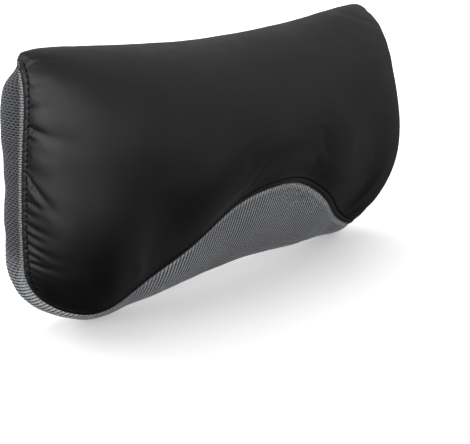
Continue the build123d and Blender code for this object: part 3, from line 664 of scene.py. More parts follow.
def mesh_material():
    """Pale spacer mesh: rows of holes between knitted ribs, with painted shade up the sides and
    towards the rear edge.
    """
    mat = Material("spacer_mesh")
    add, sub, mul, span, mix = mat.add, mat.sub, mat.mul, mat.span, mat.mix
    # along the strip, across it, distance from the leather's seam, all in mm
    x, y, z = mat.xyz(mat.attribute("weave"))
    rib = mat.math("DIVIDE", x, RIB)
    # every second rib is shifted by half a course
    shift = mul(mat.math("FRACT", mul(mat.math("FLOOR", rib), 0.5)), 1.0)
    course = add(mat.math("DIVIDE", y, COURSE), shift)
    in_rib = sub(mat.math("FRACT", rib), 0.5)
    in_course = sub(mat.math("FRACT", course), 0.5)
    hole_size = 0.27                # half width of a hole, as a share of the pitch
    across = mat.math("DIVIDE", in_rib, hole_size)
    along = mat.math("DIVIDE", in_course, hole_size)
    from_hole = add(mul(across, across), mul(along, along))
    hole = span(from_hole, over=(0.55, 1.5), to=(1.0, 0.0))
    # chain loops of the knit: four slanted yarns to a course, steepness 9 across a rib
    from_rib = mat.math("ABSOLUTE", sub(mat.math("FRACT", add(rib, 0.5)), 0.5))
    slant = add(mul(y, 2.0 * math.pi / (COURSE * 0.25)), mul(from_rib, 9.0))
    yarn = mat.math("MULTIPLY_ADD", mat.math("SINE", slant), 0.5, 0.5)
    fuzz = mat.noise(scale=1700.0, detail=2.0, rough=0.6)
    cloudy = mat.noise(scale=22.0, detail=3.0, rough=0.5)
    dark = (0.010, 0.011, 0.013)
    colour = mix(span(cloudy, over=(0.3, 0.7)), (0.600, 0.626, 0.676), (0.700, 0.726, 0.776))
    colour = mix(span(yarn, over=(0.1, 0.9), to=(0.42, 0.0)), colour, dark)
    colour = mix(span(fuzz, over=(0.35, 0.65), to=(0.18, 0.0)), colour, dark)
    # leg is 1 up the sides; from_rear runs from 0 at the rear edge to 1 at the leather
    leg, from_rear, _slack = mat.xyz(mat.attribute("shade_and_weave_place"))
    # between two ribs the cloth is thinner and darker; the grooves are painted darker still away
    # from the leather, which is painted shade
    low = mul(span(from_rear, over=(0.85, 0.35), to=(0.80, 1.0)), sub(1.0, mul(leg, 0.75)))
    groove = span(mat.math("ABSOLUTE", in_rib), over=(0.25, 0.39), to=(1.0, 0.0))
    colour = mix(mul(groove, low), colour, dark)
    # up the sides only the knots between the holes stay bright
    knot = mul(span(from_hole, over=(1.6, 3.6), to=(0.90, 0.0)),
               mat.math("MULTIPLY_ADD", leg, 0.80, 0.10))
    colour = mix(knot, colour, dark)
    open_hole = add(leg, span(from_rear, over=(0.3, 0.7), to=(0.15, 0.75)), clamp=True)
    colour = mix(mul(hole, open_hole), colour, (0.006, 0.006, 0.008))
    # painted shade: darker towards the rear edge of the strip, and darker still up the two sides
    shadow = mul(span(from_rear, over=(0.6, 0.0), to=(0.0, 0.62)), sub(1.0, leg))
    shadow = add(mul(leg, 0.77), shadow, clamp=True)
    colour = mix(shadow, colour, (0.022, 0.023, 0.026))
    # a row of light loops along the leather's seam
    rim = span(mul(z, mat.math("MULTIPLY_ADD", leg, 0.5, 0.5)),
               over=(4.2, 2.4), to=(0.0, 0.75))
    loop = span(mat.math("ABSOLUTE", in_rib), over=(0.08, 0.30), to=(0.15, 1.0))
    colour = mix(mul(rim, loop), colour, (0.50, 0.51, 0.53))
    height = sub(mul(yarn, 0.35), mul(hole, 1.0))
    return mat.finish(base_color=colour, roughness=span(yarn, over=(0, 1), to=(0.92, 0.68)),
                      normal=mat.bump(height, strength=0.85, depth=0.55),
                      specular_ior_level=0.22, sheen_weight=0.25, sheen_roughness=0.45)


def cloth_material(name, light, dark, scale=1.0):
    """Woven cloth with diagonal threads; pitch 1.1 mm at scale 1."""
    mat = Material(name)
    x, _y, z = mat.xyz(mat.point)
    pitch = 2 * math.pi / (0.0011 * scale)
    warp = mat.math("SINE", mat.mul(mat.add(x, z), pitch))
    weft = mat.math("SINE", mat.mul(mat.sub(x, z), pitch * 0.5))
    fuzz = mat.noise(scale=2600.0, detail=2.0, rough=0.6)
    height = mat.weighted((warp, 0.3), (weft, 0.25), (fuzz, 0.5))
    raised = mat.span(height, over=(-0.4, 0.8))
    cloudy = mat.noise(scale=16.0, detail=3.0, rough=0.5)
    base = mat.mix(mat.span(cloudy, over=(0.3, 0.75), to=(0.0, 0.25)),
                   mat.mix(raised, dark, light), tint(light, 1.6))
    return mat.finish(base_color=base, roughness=mat.span(raised, over=(0, 1), to=(0.95, 0.78)),
                      normal=mat.bump(height, strength=0.6, depth=0.18),
                      sheen_weight=0.35, sheen_roughness=0.5, specular_ior_level=0.2)


def foam_material():
    mat = Material("pu_foam")
    cells = mat.voronoi(scale=900.0)
    large = mat.voronoi(scale=210.0)
    base = mat.mix(mat.span(cells, over=(0.1, 0.7)), (0.86, 0.83, 0.70), (0.66, 0.61, 0.44))
    patches = mat.span(mat.noise(scale=9.0, detail=3.0), over=(0.4, 0.7), to=(0, 0.3))
    base = mat.mix(patches, base, (0.88, 0.84, 0.66))
    height = mat.add(cells, mat.mul(large, 0.5))
    return mat.finish(base_color=base, roughness=0.95,
                      normal=mat.bump(height, strength=0.6, depth=0.4),
                      subsurface_weight=0.1, specular_ior_level=0.1)


def wadding_material():
    mat = Material("wadding")
    fibres = mat.noise(scale=420.0, detail=6.0, rough=0.75, distortion=1.5,
                       stretch=(1.0, 1.0, 3.0))
    base = mat.mix(mat.span(fibres, over=(0.3, 0.7)), (0.70, 0.70, 0.68), (0.92, 0.92, 0.90))
    return mat.finish(base_color=base, roughness=0.9,
                      normal=mat.bump(fibres, strength=0.8, depth=0.8),
                      sheen_weight=0.4, specular_ior_level=0.1)


def plywood_material():
    """Wood grain, with plies that repeat every 3 mm of depth."""
    mat = Material("plywood")
    _x, y, _z = mat.xyz(mat.point)
    grain = mat.noise(scale=9.0, detail=6.0, rough=0.65, distortion=0.6,
                      stretch=(6.0, 1.0, 60.0))
    ply = mat.math("SINE", mat.mul(y, 2 * math.pi / 0.0030))
    base = mat.mix(mat.span(grain, over=(0.3, 0.7)), (0.50, 0.34, 0.19), (0.70, 0.53, 0.34))
    base = mat.mix(mat.span(ply, over=(-0.2, 0.2), to=(0.0, 0.35)), base, (0.36, 0.23, 0.12))
    return mat.finish(base_color=base, roughness=mat.span(grain, over=(0.3, 0.7), to=(0.7, 0.55)),
                      normal=mat.bump(grain, strength=0.35, depth=0.3))


def metal_material(name, colour, rough, brushed=None, spots=False):
    """Bare metal; brushed stretches its fine lines, spots adds light zinc flakes."""
    mat = Material(name)
    if brushed:
        lines = mat.noise(scale=55.0, detail=5.0, rough=0.7, stretch=brushed)
    else:
        lines = mat.noise(scale=600.0, detail=4.0, rough=0.6)
    cloudy = mat.noise(scale=60.0, detail=4.0, rough=0.6)
    base = mat.mix(mat.span(cloudy, over=(0.3, 0.7)), tint(colour, 0.82), colour)
    if spots:
        flakes = mat.span(mat.voronoi(scale=260.0), over=(0.25, 0.75), to=(0.22, 0.0))
        base = mat.mix(flakes, base, tint(colour, 1.25))
    roughness = mat.add(mat.span(lines, over=(0.3, 0.7), to=(rough - 0.07, rough + 0.10)),
                        mat.span(cloudy, over=(0.45, 0.75), to=(0.0, 0.125)))
    return mat.finish(base_color=base, metallic=1.0, roughness=roughness,
                      normal=mat.bump(lines, strength=0.25, depth=0.05))


def coat_material(name, colour, rough=0.45, peel=0.25):
    """Painted metal with orange peel and a few light scratches."""
    mat = Material(name)
    orange_peel = mat.noise(scale=900.0, detail=2.0, rough=0.5)
    cloudy = mat.noise(scale=45.0, detail=4.0, rough=0.6)
    scratch = mat.noise(scale=160.0, detail=6.0, rough=0.8, stretch=(1.0, 6.0, 0.25))
    base = mat.mix(mat.span(cloudy, over=(0.35, 0.7)), tint(colour, 0.8), tint(colour, 1.2))
    base = mat.mix(mat.span(scratch, over=(0.66, 0.72), to=(0.0, 0.35)),
                   base, tint(colour, 3.5, plus=0.02))
    roughness = mat.add(rough, mat.span(cloudy, over=(0.3, 0.7), to=(-0.05, 0.07)))
    return mat.finish(base_color=base, roughness=roughness,
                      normal=mat.bump(orange_peel, strength=peel, depth=0.12),
                      specular_ior_level=0.5)


def plastic_material(name, colour, rough=0.5, texture=1.0, scale=1500.0):
    """Moulded plastic with a fine eroded texture and faint flow marks."""
    mat = Material(name)
    erosion = mat.voronoi(scale=scale)
    cloudy = mat.noise(scale=70.0, detail=4.0, rough=0.6)
    flow = mat.noise(scale=40.0, detail=3.0, rough=0.5, stretch=(0.4, 1.0, 2.5))
    base = mat.mix(mat.span(cloudy, over=(0.35, 0.7)), tint(colour, 0.88), tint(colour, 1.1))
    base = mat.mix(mat.span(flow, over=(0.5, 0.8), to=(0.0, 0.2)),
                   base, tint(colour, 1.3, plus=0.005))
    roughness = mat.add(rough, mat.span(cloudy, over=(0.3, 0.7), to=(-0.06, 0.06)))
    return mat.finish(base_color=base, roughness=roughness,
                      normal=mat.bump(erosion, strength=0.35 * texture, depth=0.12),
                      specular_ior_level=0.45)


MATERIALS = {
    "leather": leather_material(),
    "mesh": mesh_material(),
    "thread": thread_material("topstitch_thread", colour=(0.0045, 0.0045, 0.005)),
    "lining": cloth_material("back_cloth", light=(0.030, 0.030, 0.032),
                             dark=(0.010, 0.010, 0.011)),
    "tape": cloth_material("zip_tape", light=(0.028, 0.028, 0.030),
                           dark=(0.008, 0.008, 0.009), scale=0.8),
    "foam": foam_material(),
    "wadding": wadding_material(),
    "ply": plywood_material(),
    "black_coat": coat_material("steel_black", colour=(0.022, 0.022, 0.024)),
    "zinc": metal_material("zinc_steel", colour=(0.66, 0.67, 0.69), rough=0.26, spots=True),
    "zinc_sheet": metal_material("zinc_plate", colour=(0.60, 0.61, 0.64), rough=0.33,
                                 brushed=(0.3, 0.3, 12.0), spots=True),
    "hard": metal_material("hardened_steel", colour=(0.30, 0.30, 0.31), rough=0.38,
                           brushed=(14.0, 0.4, 0.4)),
    "spring": metal_material("spring_steel", colour=(0.42, 0.42, 0.44), rough=0.28),
    "oxide": metal_material("black_steel", colour=(0.06, 0.06, 0.065), rough=0.42),
    "pom_dark": plastic_material("pom_dark", colour=(0.022, 0.022, 0.025), rough=0.38,
                                 texture=0.5),
    "pom_light": plastic_material("pom_light", colour=(0.70, 0.69, 0.64), rough=0.36,
                                  texture=0.4),
    "nylon": plastic_material("nylon_white", colour=(0.74, 0.74, 0.70), rough=0.40,
                              texture=0.5),
    "button": plastic_material("abs_button", colour=(0.030, 0.030, 0.033), rough=0.52,
                               texture=1.2),
    "bezel": plastic_material("bezel_plastic", colour=(0.020, 0.020, 0.022), rough=0.55,
                              texture=1.4),
    "rubber": plastic_material("bumper_rubber", colour=(0.018, 0.018, 0.018), rough=0.78,
                               texture=0.8, scale=700.0),
    "zip_metal": coat_material("zip_metal", colour=(0.020, 0.020, 0.022), rough=0.34, peel=0.1),
}

# the CAD pieces that wear each material
CAD_PIECES = {
    "black_coat": "mount_plate pad_bracket",
    "pom_dark": "slider_block rail_end_stops",
    "pom_light": "latch_bolt",
    "zinc": "block_screws rack_rivets pivot_spacer pivot_bolt lock_nut bracket_bolts "
            "bracket_washers tee_nuts",
    "zinc_sheet": "rail_channel",
    "hard": "rack_strip",
    "spring": "button_return_spring latch_spring disc_springs",
    "oxide": "bezel_screws",
    "nylon": "friction_washers",
    "button": "release_button",
    "bezel": "pocket_bezel",
    "rubber": "tilt_bumpers",
    "ply": "backing_board",
    "zip_metal": "zip_slider zip_puller",
}
for key, pieces in CAD_PIECES.items():
    for piece in pieces.split():
        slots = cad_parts[piece].data.materials
        slots.clear()
        slots.append(MATERIALS[key])


# ---------------------------------------------------------------- compression springs
def make_spring(node, axis, fixed_low, radius, wire, turns):
    """Coil in the node's box, drawn at the box's full length."""
    low, high = (np.array(corner) * 1000 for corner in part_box(node))
    height = high[axis] - low[axis]
    closed = 0.9                    # closed coils at each end
    count = int(turns * 40) + 1
    share = np.linspace(0, 1, count)
    turn = (2 * np.pi * turns * share)[:, None]
    rise = np.interp(share, [0, closed / turns, 1 - closed / turns, 1],
                     [0, wire * closed, height - wire - wire * closed, height - wire])
    rise = (rise + wire / 2)[:, None]
    axes = np.eye(3)
    base = (low + high) / 2
    base[axis] = low[axis]
    outward = np.cos(turn) * axes[(axis + 1) % 3] + np.sin(turn) * axes[(axis + 2) % 3]
    line = base + radius * outward + rise * axes[axis]
    sideways = unit(np.cross(unit(np.gradient(line, axis=0)), outward))
    coil = make_bars(node + "_coil", [(line, wire / 2, outward, sideways)], 12,
                     MATERIALS["spring"], lift=0.0)
    for cap in coil.data.polygons[-2:]:
        cap.use_smooth = False
    start, end = base.copy(), base.copy()
    start[axis], end[axis] = low[axis] + 0.4, high[axis] - 0.4
    if not fixed_low:
        start, end = end, start
    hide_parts(node)
    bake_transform(coil)


make_spring("button_return_spring", axis=2, fixed_low=True,
            radius=2.5, wire=0.8, turns=6.5)
make_spring("latch_spring", axis=1, fixed_low=False,
            radius=2.7, wire=0.8, turns=6.0)

# ---------------------------------------------------------------- cloth simulation
SIM_FRAMES = 20
CLOTH = dict(
    quality=7, mass=0.35, tension_stiffness=22, compression_stiffness=22,
    shear_stiffness=9, bending_stiffness=0.35,
    tension_damping=9, compression_damping=9, shear_damping=9, bending_damping=0.6,
    air_damping=2.5, use_pressure=True, uniform_pressure_force=4.0,
    vertex_group_mass="held", pin_stiffness=1.0,
    shrink_min=0.0, shrink_max=-0.045, vertex_group_shrink="loose")


def coordinates(obj):
    flat = np.empty(len(obj.data.vertices) * 3)
    obj.data.vertices.foreach_get("co", flat)
    return flat.reshape(-1, 3) * 1000


def hold_seams(obj, rest, seam_path):
    """Vertex groups that hold the cover at its seams and its rear."""
    distance, _ = nearest_on(seam_path[::4], rest)
    held = np.maximum(1 - smooth((distance - 5) / 9), smooth((rest[:, 1] + 30) / 10))
    held_group = obj.vertex_groups.new(name="held")
    loose_group = obj.vertex_groups.new(name="loose")
    for i, weight in enumerate(held):
        if weight > 0.02:
            held_group.add([i], float(weight), "REPLACE")
        loose_group.add([i], float(1 - weight), "REPLACE")


def run_cloth(obj):
    cloth = obj.modifiers.new("cloth", "CLOTH")
    for key, value in CLOTH.items():
        setattr(cloth.settings, key, value)
    cloth.settings.effector_weights.gravity = 0.0
    cloth.collision_settings.use_collision = False
    cloth.point_cache.frame_start, cloth.point_cache.frame_end = 1, SIM_FRAMES
    for i in range(1, SIM_FRAMES + 1):
        bpy.context.scene.frame_set(i)
    apply_modifiers(obj)
    bpy.context.scene.frame_set(1)


def simulate_cover(targets, seam_path):
    """Blows the closed cover up over its stuffing; returns how far each target moved."""
    stations = side_weighted(121, bend=0.5, half_width=HALF_W - 1.5)
    sections = body_sections(stations, 1.0, front_count=44, strip_count=16, back_count=18)
    obj = make_object("sim_cover", *loft(sections, stations), lift=0.0)
    remesh = obj.modifiers.new("remesh", "REMESH")
    remesh.mode = "VOXEL"
    remesh.voxel_size = 0.0048
    apply_modifiers(obj)
    rest = coordinates(obj)
    hold_seams(obj, rest, seam_path)
    run_cloth(obj)
    move = coordinates(obj) - rest
    size = np.linalg.norm(move, axis=1, keepdims=True)
    move *= np.minimum(1, 9.0 / np.maximum(size, 1e-9))
    edges = np.empty(len(obj.data.edges) * 2, int)
    obj.data.edges.foreach_get("vertices", edges)
    edges = edges.reshape(-1, 2)
    bpy.data.objects.remove(obj)
    # the broad swelling is smoothed out of the movement, and what is left are the folds
    neighbours = np.bincount(edges.ravel(), minlength=len(rest)).astype(float)[:, None]
    broad = move.copy()
    for _ in range(70):
        total = np.zeros_like(broad)
        np.add.at(total, edges[:, 0], broad[edges[:, 1]])
        np.add.at(total, edges[:, 1], broad[edges[:, 0]])
        broad = 0.5 * broad + 0.5 * total / np.maximum(neighbours, 1)
    kept = (move - broad) + broad * 0.12
    tree = KDTree(len(rest))
    for i, point in enumerate(rest):
        tree.insert(point, i)
    tree.balance()
    moved = np.zeros_like(targets)
    for i, point in enumerate(targets):
        hits = tree.find_n(point, 6)
        weights = np.array([1.0 / (hit[2] + 0.6) ** 2 for hit in hits])
        moved[i] = kept[[hit[1] for hit in hits]].T @ weights / weights.sum()
    return moved


# ---------------------------------------------------------------- leather surface and its seam
BASE = leather_grid(leather_stations(step=1.40, edge_step=0.60),
                    leather_rows(step=1.05, edge_step=0.65))
ROWS, COLUMNS = BASE.shape[:2]
NORMALS = grid_normals(BASE)
if NORMALS[ROWS // 2, COLUMNS // 2, 1] > 0:
    NORMALS = -NORMALS
# the side seams' columns have no width of their own: their normals come from the next column
NORMALS[:, 0], NORMALS[:, -1] = NORMALS[:, 1], NORMALS[:, -2]

# down the -X side, along the arch, and up the +X side
SEAM, SEAM_AT = resample(np.concatenate([BASE[:, 0], BASE[-1, 1:-1], BASE[::-1, -1]]), 0.8)
SEAM_LEN = SEAM_AT[-1]
FLAT = BASE.reshape(-1, 3)
# for each leather vertex: distance to the seam, place along it, side (-1 or 1),
# and distance along the seam from that side's own top corner
DIST, _nearest = nearest_on(SEAM, FLAT)
ALONG = SEAM_AT[_nearest]
SIDE = np.where(SEAM[_nearest, 0] < 0, -1.0, 1.0)
FROM_TOP = np.where(ALONG < SEAM_LEN / 2, ALONG, SEAM_LEN - ALONG)
SIDE_AT = arc_length(BASE[:, 0])
SIDE_LEN = SIDE_AT[-1]              # where the side seam ends and the lower seam starts
ON_SIDE = 1 - smooth((FROM_TOP - SIDE_LEN - 10) / 60)   # 1 along the sides, 0 along the arch

# puckers from the side seams: height on the seam, depth, half width, reach, slant
SIDE_PUCKERS = [
    (98.0, 0.7, 1.8, 12, 0.2), (84.7, 0.7, 2.2, 20, -0.1), (70.0, 0.45, 2.0, 16, 0.1),
    (56.0, 1.25, 2.1, 27, -0.2), (46.0, 0.6, 1.8, 14, 0.1), (16.1, 1.6, 2.4, 22, -0.72),
    (10.0, 0.6, 1.6, 12, -0.2), (-5.3, 0.9, 1.6, 18, -0.1), (-16.0, 0.5, 1.5, 10, 0.0),
    (-25.4, 0.9, 1.7, 20, -0.15), (-34.1, 0.8, 1.6, 16, -0.1), (-43.0, 0.9, 1.6, 22, -0.2),
    (-52.0, 0.6, 1.5, 14, -0.1), (-59.5, 0.9, 1.7, 20, -0.1),
]
# puckers from the lower seam: x on the seam, depth, half width, reach, slant
LOWER_PUCKERS = [
    (149.0, 0.55, 2.6, 20, 0.5), (166.0, 1.0, 2.8, 26, 0.6), (183.0, 0.8, 2.4, 22, 0.7),
    (199.0, 0.9, 2.6, 24, 0.5), (-172.0, 0.45, 2.6, 18, -0.5), (-196.0, 0.5, 2.4, 18, -0.5),
]
# soft swells between the puckers: height on the seam, swell height, half width, reach
SWELLS = [(88.0, 0.8, 8.0, 22), (64.0, 0.5, 5.5, 18), (31.0, 1.3, 9.0, 24),
          (5.0, 0.9, 5.0, 18), (-19.0, 0.4, 5.0, 16)]


def past_stitch(skip=0):
    """Distance into the panel beyond the topstitch, less skip."""
    return np.clip(DIST - STITCH_IN - skip, 0, None)


def fading(rise, reach, skip, lead=0.5):
    """Strength that rises at the topstitch and dies out over reach."""
    return smooth((DIST - STITCH_IN + lead) / rise) * bell(past_stitch(skip) / reach)


def pucker(offset, ridges, spread):
    """Crease at offset 0, with a ridge on either side of it."""
    return (-bell(offset) + ridges[0] * bell((offset - 2.0) / spread)
            + ridges[1] * bell((offset + 2.0) / spread))


def stitched_border(random):
    """Topstitch groove, padded border and the rungs that cross it."""
    groove = -0.75 * bell((DIST - STITCH_IN) / 1.15)
    padding = (0.50 * np.sin(np.pi * np.clip(DIST / STITCH_IN, 0, 1)) ** 1.5
               * (0.25 + 0.75 * ON_SIDE))
    # along the arch the filling stops short of the seam, so the panel is hollow there
    hollow = -1.0 * bell((DIST - 15) / 13) * smooth(DIST / 6) * (1 - ON_SIDE)
    phase = 2 * np.pi * ALONG / STITCH_PITCH
    dimples = -0.25 * bell((DIST - STITCH_IN) / 0.9) * (0.5 + 0.5 * np.cos(phase)) ** 3
    relief = groove + padding + hollow + dimples
    across_border = np.sin(np.pi * np.clip(DIST / (STITCH_IN + 0.6), 0, 1))
    at = 5.0
    while at < SEAM_LEN:
        depth, width = random.uniform(0.7, 1.1), random.uniform(0.75, 1.0)
        rung = -depth * bell((ALONG - at) / width) * across_border
        relief += rung * (0.15 + 0.85 * ON_SIDE) * 0.75
        at += random.uniform(7.8, 9.6)
    return relief


def side_seam_at(height):
    """Distance down the side seam from its top corner to a height."""
    heights = BASE[:, 0, 2]
    order = np.argsort(heights)
    return float(np.interp(height, heights[order], SIDE_AT[order]))


def placed_puckers():
    """Puckers and swells at set places, weaker and shifted on the +X side."""
    relief = np.zeros(len(FLAT))
    for height, depth, width, reach, slant in SIDE_PUCKERS:
        for side, strength, shift in ((-1, 1.0, 0.0), (1, 0.75, 5.0 * math.sin(height))):
            centre = side_seam_at(height) + shift - slant * past_stitch()
            offset = (FROM_TOP - centre) / (width * (1 + past_stitch() * 0.045))
            shape = pucker(offset, ridges=(0.38, 0.38), spread=1.2)
            relief += (1.35 * strength * depth * shape
                       * fading(rise=3.5, reach=reach, skip=2) * (SIDE == side))
    lower_x = np.where(SEAM[:, 2] < LOW_SIDE, SEAM[:, 0], 1e6)
    for x, depth, width, reach, slant in LOWER_PUCKERS:
        centre = float(SEAM_AT[np.abs(lower_x - x).argmin()]) + slant * past_stitch()
        offset = (ALONG - centre) / (width * (1 + 0.05 * past_stitch()))
        relief += (depth * pucker(offset, ridges=(0.5, 0.4), spread=1.3)
                   * fading(rise=4.0, reach=reach, skip=2))
    for height, swell, width, reach in SWELLS:
        for side, strength, shift in ((-1, 1.0, 0.0), (1, 0.7, 4.0)):
            shape = bell((FROM_TOP - side_seam_at(height) - shift) / width)
            relief += (swell * strength * shape
                       * fading(rise=8.0, reach=reach, skip=6, lead=0) * (SIDE == side))
    return relief


def random_puckers(random):
    """Fine puckers all along the seam, weaker round the corners and along the arch."""
    relief = np.zeros(len(FLAT))
    at = 4.0
    while at < SEAM_LEN - 4:
        from_top = min(at, SEAM_LEN - at)
        strength = 1.0 if from_top < SIDE_LEN else 0.9 if from_top < SIDE_LEN + 70 else 0.25
        depth = random.uniform(0.2, 0.6) * strength
        width, reach = random.uniform(1.2, 2.0), random.uniform(5, 13)
        slant = random.uniform(-0.5, 0.5)
        offset = (ALONG - at - slant * past_stitch()) / (width * (1 + 0.04 * past_stitch()))
        relief -= depth * bell(offset) * fading(rise=3.0, reach=reach, skip=1)
        at += random.uniform(7, 15)
    return relief


def stuffing_relief():
    """Soft unevenness of the stuffing, and folds at the arch and the top corners."""
    x, y, z = FLAT.T
    calm = smooth((DIST - 12) / 40)
    relief = (0.9 * value_noise_2d(x, z, cell=74.0, seed=3)
              + 0.35 * value_noise_2d(x, z, cell=31.0, seed=5)) * calm
    for side in (-1, 1):
        # a shallow fold where the arch turns up
        from_x, from_z = x - side * 150.0, z + 88.0
        along = from_x * side * 0.55 + from_z * 0.835
        across = -from_x * side * 0.835 + from_z * 0.55
        relief += 1.3 * bell(across / 7.0) * bell((along - 24) / 26) * (SIDE == side)
        # one across the top corner
        outward = (x - side * 196) * side
        relief -= (0.45 * bell((z - (101 - 0.35 * outward)) / 3.2) * bell(outward / 26)
                   * (np.abs(y + 45) < 40))
    return relief


def simulated_folds():
    """Folds of the simulated cover along the normals, spread from every third vertex."""
    some_rows = np.unique(np.r_[0:ROWS:3, ROWS - 1])
    some_columns = np.unique(np.r_[0:COLUMNS:3, COLUMNS - 1])
    picked = np.ix_(some_rows, some_columns)
    moved = simulate_cover(BASE[picked].reshape(-1, 3), SEAM)
    along = (moved * NORMALS[picked].reshape(-1, 3)).sum(1)
    along = along.reshape(len(some_rows), len(some_columns))
    all_rows = interp_columns(np.arange(ROWS), some_rows, along)
    full = interp_columns(np.arange(COLUMNS), some_columns, all_rows.T).T
    return np.clip(full.ravel(), -4.5, 4.5) * smooth((DIST - STITCH_IN) / 8)


def leather_surface():
    random = np.random.default_rng(11)
    relief = stitched_border(random)
    relief += placed_puckers()
    relief += random_puckers(random)
    relief += stuffing_relief()
    relief += simulated_folds()
    # nothing at the top edge, and the cloth lies smooth at its two tips
    relief *= smooth(np.repeat(arc_length(BASE[:, COLUMNS // 2]), COLUMNS) / 10.0)
    tip_gap = np.minimum(np.linalg.norm(FLAT - BASE[0, 0], axis=1),
                         np.linalg.norm(FLAT - BASE[0, -1], axis=1))
    relief *= smooth((tip_gap - 2.0) / 15.0)
    return BASE + NORMALS * relief.reshape(ROWS, COLUMNS, 1)


LEATHER = leather_surface()

# ---------------------------------------------------------------- leather cover
ROLL_R, ROLL_STEPS, ROLL_ANGLE = 0.9, 5, 165.0      # the edge turned under along the seam
_index = np.arange(ROWS * COLUMNS).reshape(ROWS, COLUMNS)
EDGE = np.concatenate([_index[:, 0], _index[-1, 1:-1], _index[::-1, -1], _index[0, -2:0:-1]])


def soften(vectors):
    """Evens directions out round the edge, so that the sharp top corners don't tangle."""
    for _ in range(30):
        vectors = 0.25 * np.roll(vectors, 1, 0) + 0.5 * vectors + 0.25 * np.roll(vectors, -1, 0)
    return unit(vectors)


EDGE_POINTS = LEATHER.reshape(-1, 3)[EDGE]
_edge_normals = NORMALS.reshape(-1, 3)[EDGE]
EDGE_NORMALS = soften(_edge_normals)


def rolled_edge():
    """Vertex rows of the edge as it turns under."""
    tangent = unit(np.roll(EDGE_POINTS, -1, 0) - np.roll(EDGE_POINTS, 1, 0))
    outward = unit(np.cross(tangent, _edge_normals))
    centre = LEATHER[ROWS // 2, COLUMNS // 2]
    if np.mean(np.sum(outward * (EDGE_POINTS - centre), axis=1)) < 0:
        outward = -outward
    outward = soften(outward)
    rows = []
    for k in range(1, ROLL_STEPS + 1):
        angle = math.radians(ROLL_ANGLE) * k / ROLL_STEPS
        rows.append(EDGE_POINTS - EDGE_NORMALS * ROLL_R
                    + ROLL_R * (EDGE_NORMALS * math.cos(angle) + outward * math.sin(angle)))
    return rows


def middle_face(body):
    middle = Vector((0, -0.12, -0.02))
    return min(body.faces, key=lambda face: (face.calc_center_median() - middle).length)


def turn_forward(body):
    recalc_normals(body)
    if middle_face(body).normal.y > 0:
        reverse_faces(body)


def drop_faces(body, faces):
    bmesh.ops.delete(body, geom=faces, context="FACES")


def connected_faces(start):
    found, waiting = {start}, [start]
    while waiting:
        for edge in waiting.pop().edges:
            for face in edge.link_faces:
                if face not in found:
                    found.add(face)
                    waiting.append(face)
    return found


def clean_tips(body):
    """Clears the two top corners, where the seams meet and the grid runs together."""
    tips = [Vector(LEATHER[0, 0]) * MM, Vector(LEATHER[0, -1]) * MM]

    def tip_gap(point):
        return min((point - tip).length for tip in tips)

    def near_tips(reach):
        return [vert for vert in body.verts if tip_gap(vert.co) < reach]

    # the turned-under edge stops short of the tips
    body.verts.ensure_lookup_table()
    drop_faces(body, [face for face in body.faces
                      if max(vert.index for vert in face.verts) >= ROWS * COLUMNS
                      and tip_gap(face.calc_center_median()) < 0.021])
    # slivers that fold back on themselves go, and the slit is welded
    folded = []
    for face in body.faces:
        centre = face.calc_center_median()
        if tip_gap(centre) > 0.024:
            continue
        outward = Vector((math.copysign(0.8, centre.x), -0.3, 0.5))
        face.normal_update()
        if face.normal.dot(outward) < 0.02 or face.calc_area() < 2e-9:
            folded.append(face)
    drop_faces(body, folded)
    # only the piece that holds the middle of the panel stays
    kept = connected_faces(middle_face(body))
    drop_faces(body, [face for face in body.faces if face not in kept])
    bmesh.ops.remove_doubles(body, verts=near_tips(0.028), dist=0.00042)
    crowded = set(near_tips(0.028))
    edges = [e for e in body.edges if e.verts[0] in crowded and e.verts[1] in crowded]
    bmesh.ops.dissolve_degenerate(body, dist=0.00012, edges=edges)
    turn_forward(body)
    for reach, times in ((0.0075, 14), (0.012, 5)):
        verts = near_tips(reach)
        for _ in range(times):
            bmesh.ops.smooth_vert(body, verts=verts, factor=0.5,
                                  use_axis_x=True, use_axis_y=True, use_axis_z=True)


def make_cover():
    verts = np.concatenate([LEATHER.reshape(-1, 3)] + rolled_edge())
    faces = [grid_faces(ROWS, COLUMNS)]
    before = EDGE
    for k in range(ROLL_STEPS):
        row = ROWS * COLUMNS + k * len(EDGE) + np.arange(len(EDGE))
        faces.append(np.stack([before, row, np.roll(row, -1), np.roll(before, -1)], -1))
        before = row
    cover = make_object("leather_cover_soft", verts, np.concatenate(faces),
                        MATERIALS["leather"])
    with bmesh_of(cover) as body:
        turn_forward(body)
        clean_tips(body)
    solidify(cover, 1.1)
    shade(cover, True)
    fit_to_pad(cover, "leather_cover")


make_cover()


# ---------------------------------------------------------------- topstitching
def stitch_track():
    """Points and normals along the topstitch, four to a stitch; NaN where it is lost."""
    band = np.where(np.abs(DIST - STITCH_IN) < 1.1)[0]
    band = band[np.argsort(ALONG[band])]
    along, distance = ALONG[band], DIST[band]
    points = LEATHER.reshape(-1, 3)[band]
    normals = NORMALS.reshape(-1, 3)[band]
    places = np.arange(6.0, SEAM_LEN - 6.0, STITCH_PITCH / 4)
    track, track_normals = np.zeros((len(places), 3)), np.zeros((len(places), 3))
    for i, place in enumerate(places):
        start, end = np.searchsorted(along, place - 2.2), np.searchsorted(along, place + 2.2)
        if end - start < 3:
            track[i] = np.nan
            continue
        near = slice(start, end)
        weight = np.exp(-(((along[near] - place) / 0.9) ** 2)
                        - (((distance[near] - STITCH_IN) / 0.45) ** 2))[:, None]
        track[i] = (points[near] * weight).sum(0) / weight.sum()
        track_normals[i] = unit((normals[near] * weight).sum(0))
    return track, track_normals


def stitch_bar(start, end, normal, radius=0.5, rings=7):
    """One thread stitch, a rounded bar that dips into the leather at both ends."""
    share = np.linspace(0, 1, rings)[:, None]
    centres = (start + (end - start) * share
               + normal * (0.42 * np.sin(np.pi * share) - 0.10))
    radii = radius * np.sqrt(np.maximum(0.02, 1 - (2 * share[:, 0] - 1) ** 4))
    return centres, radii, unit(np.cross(end - start, normal)), normal


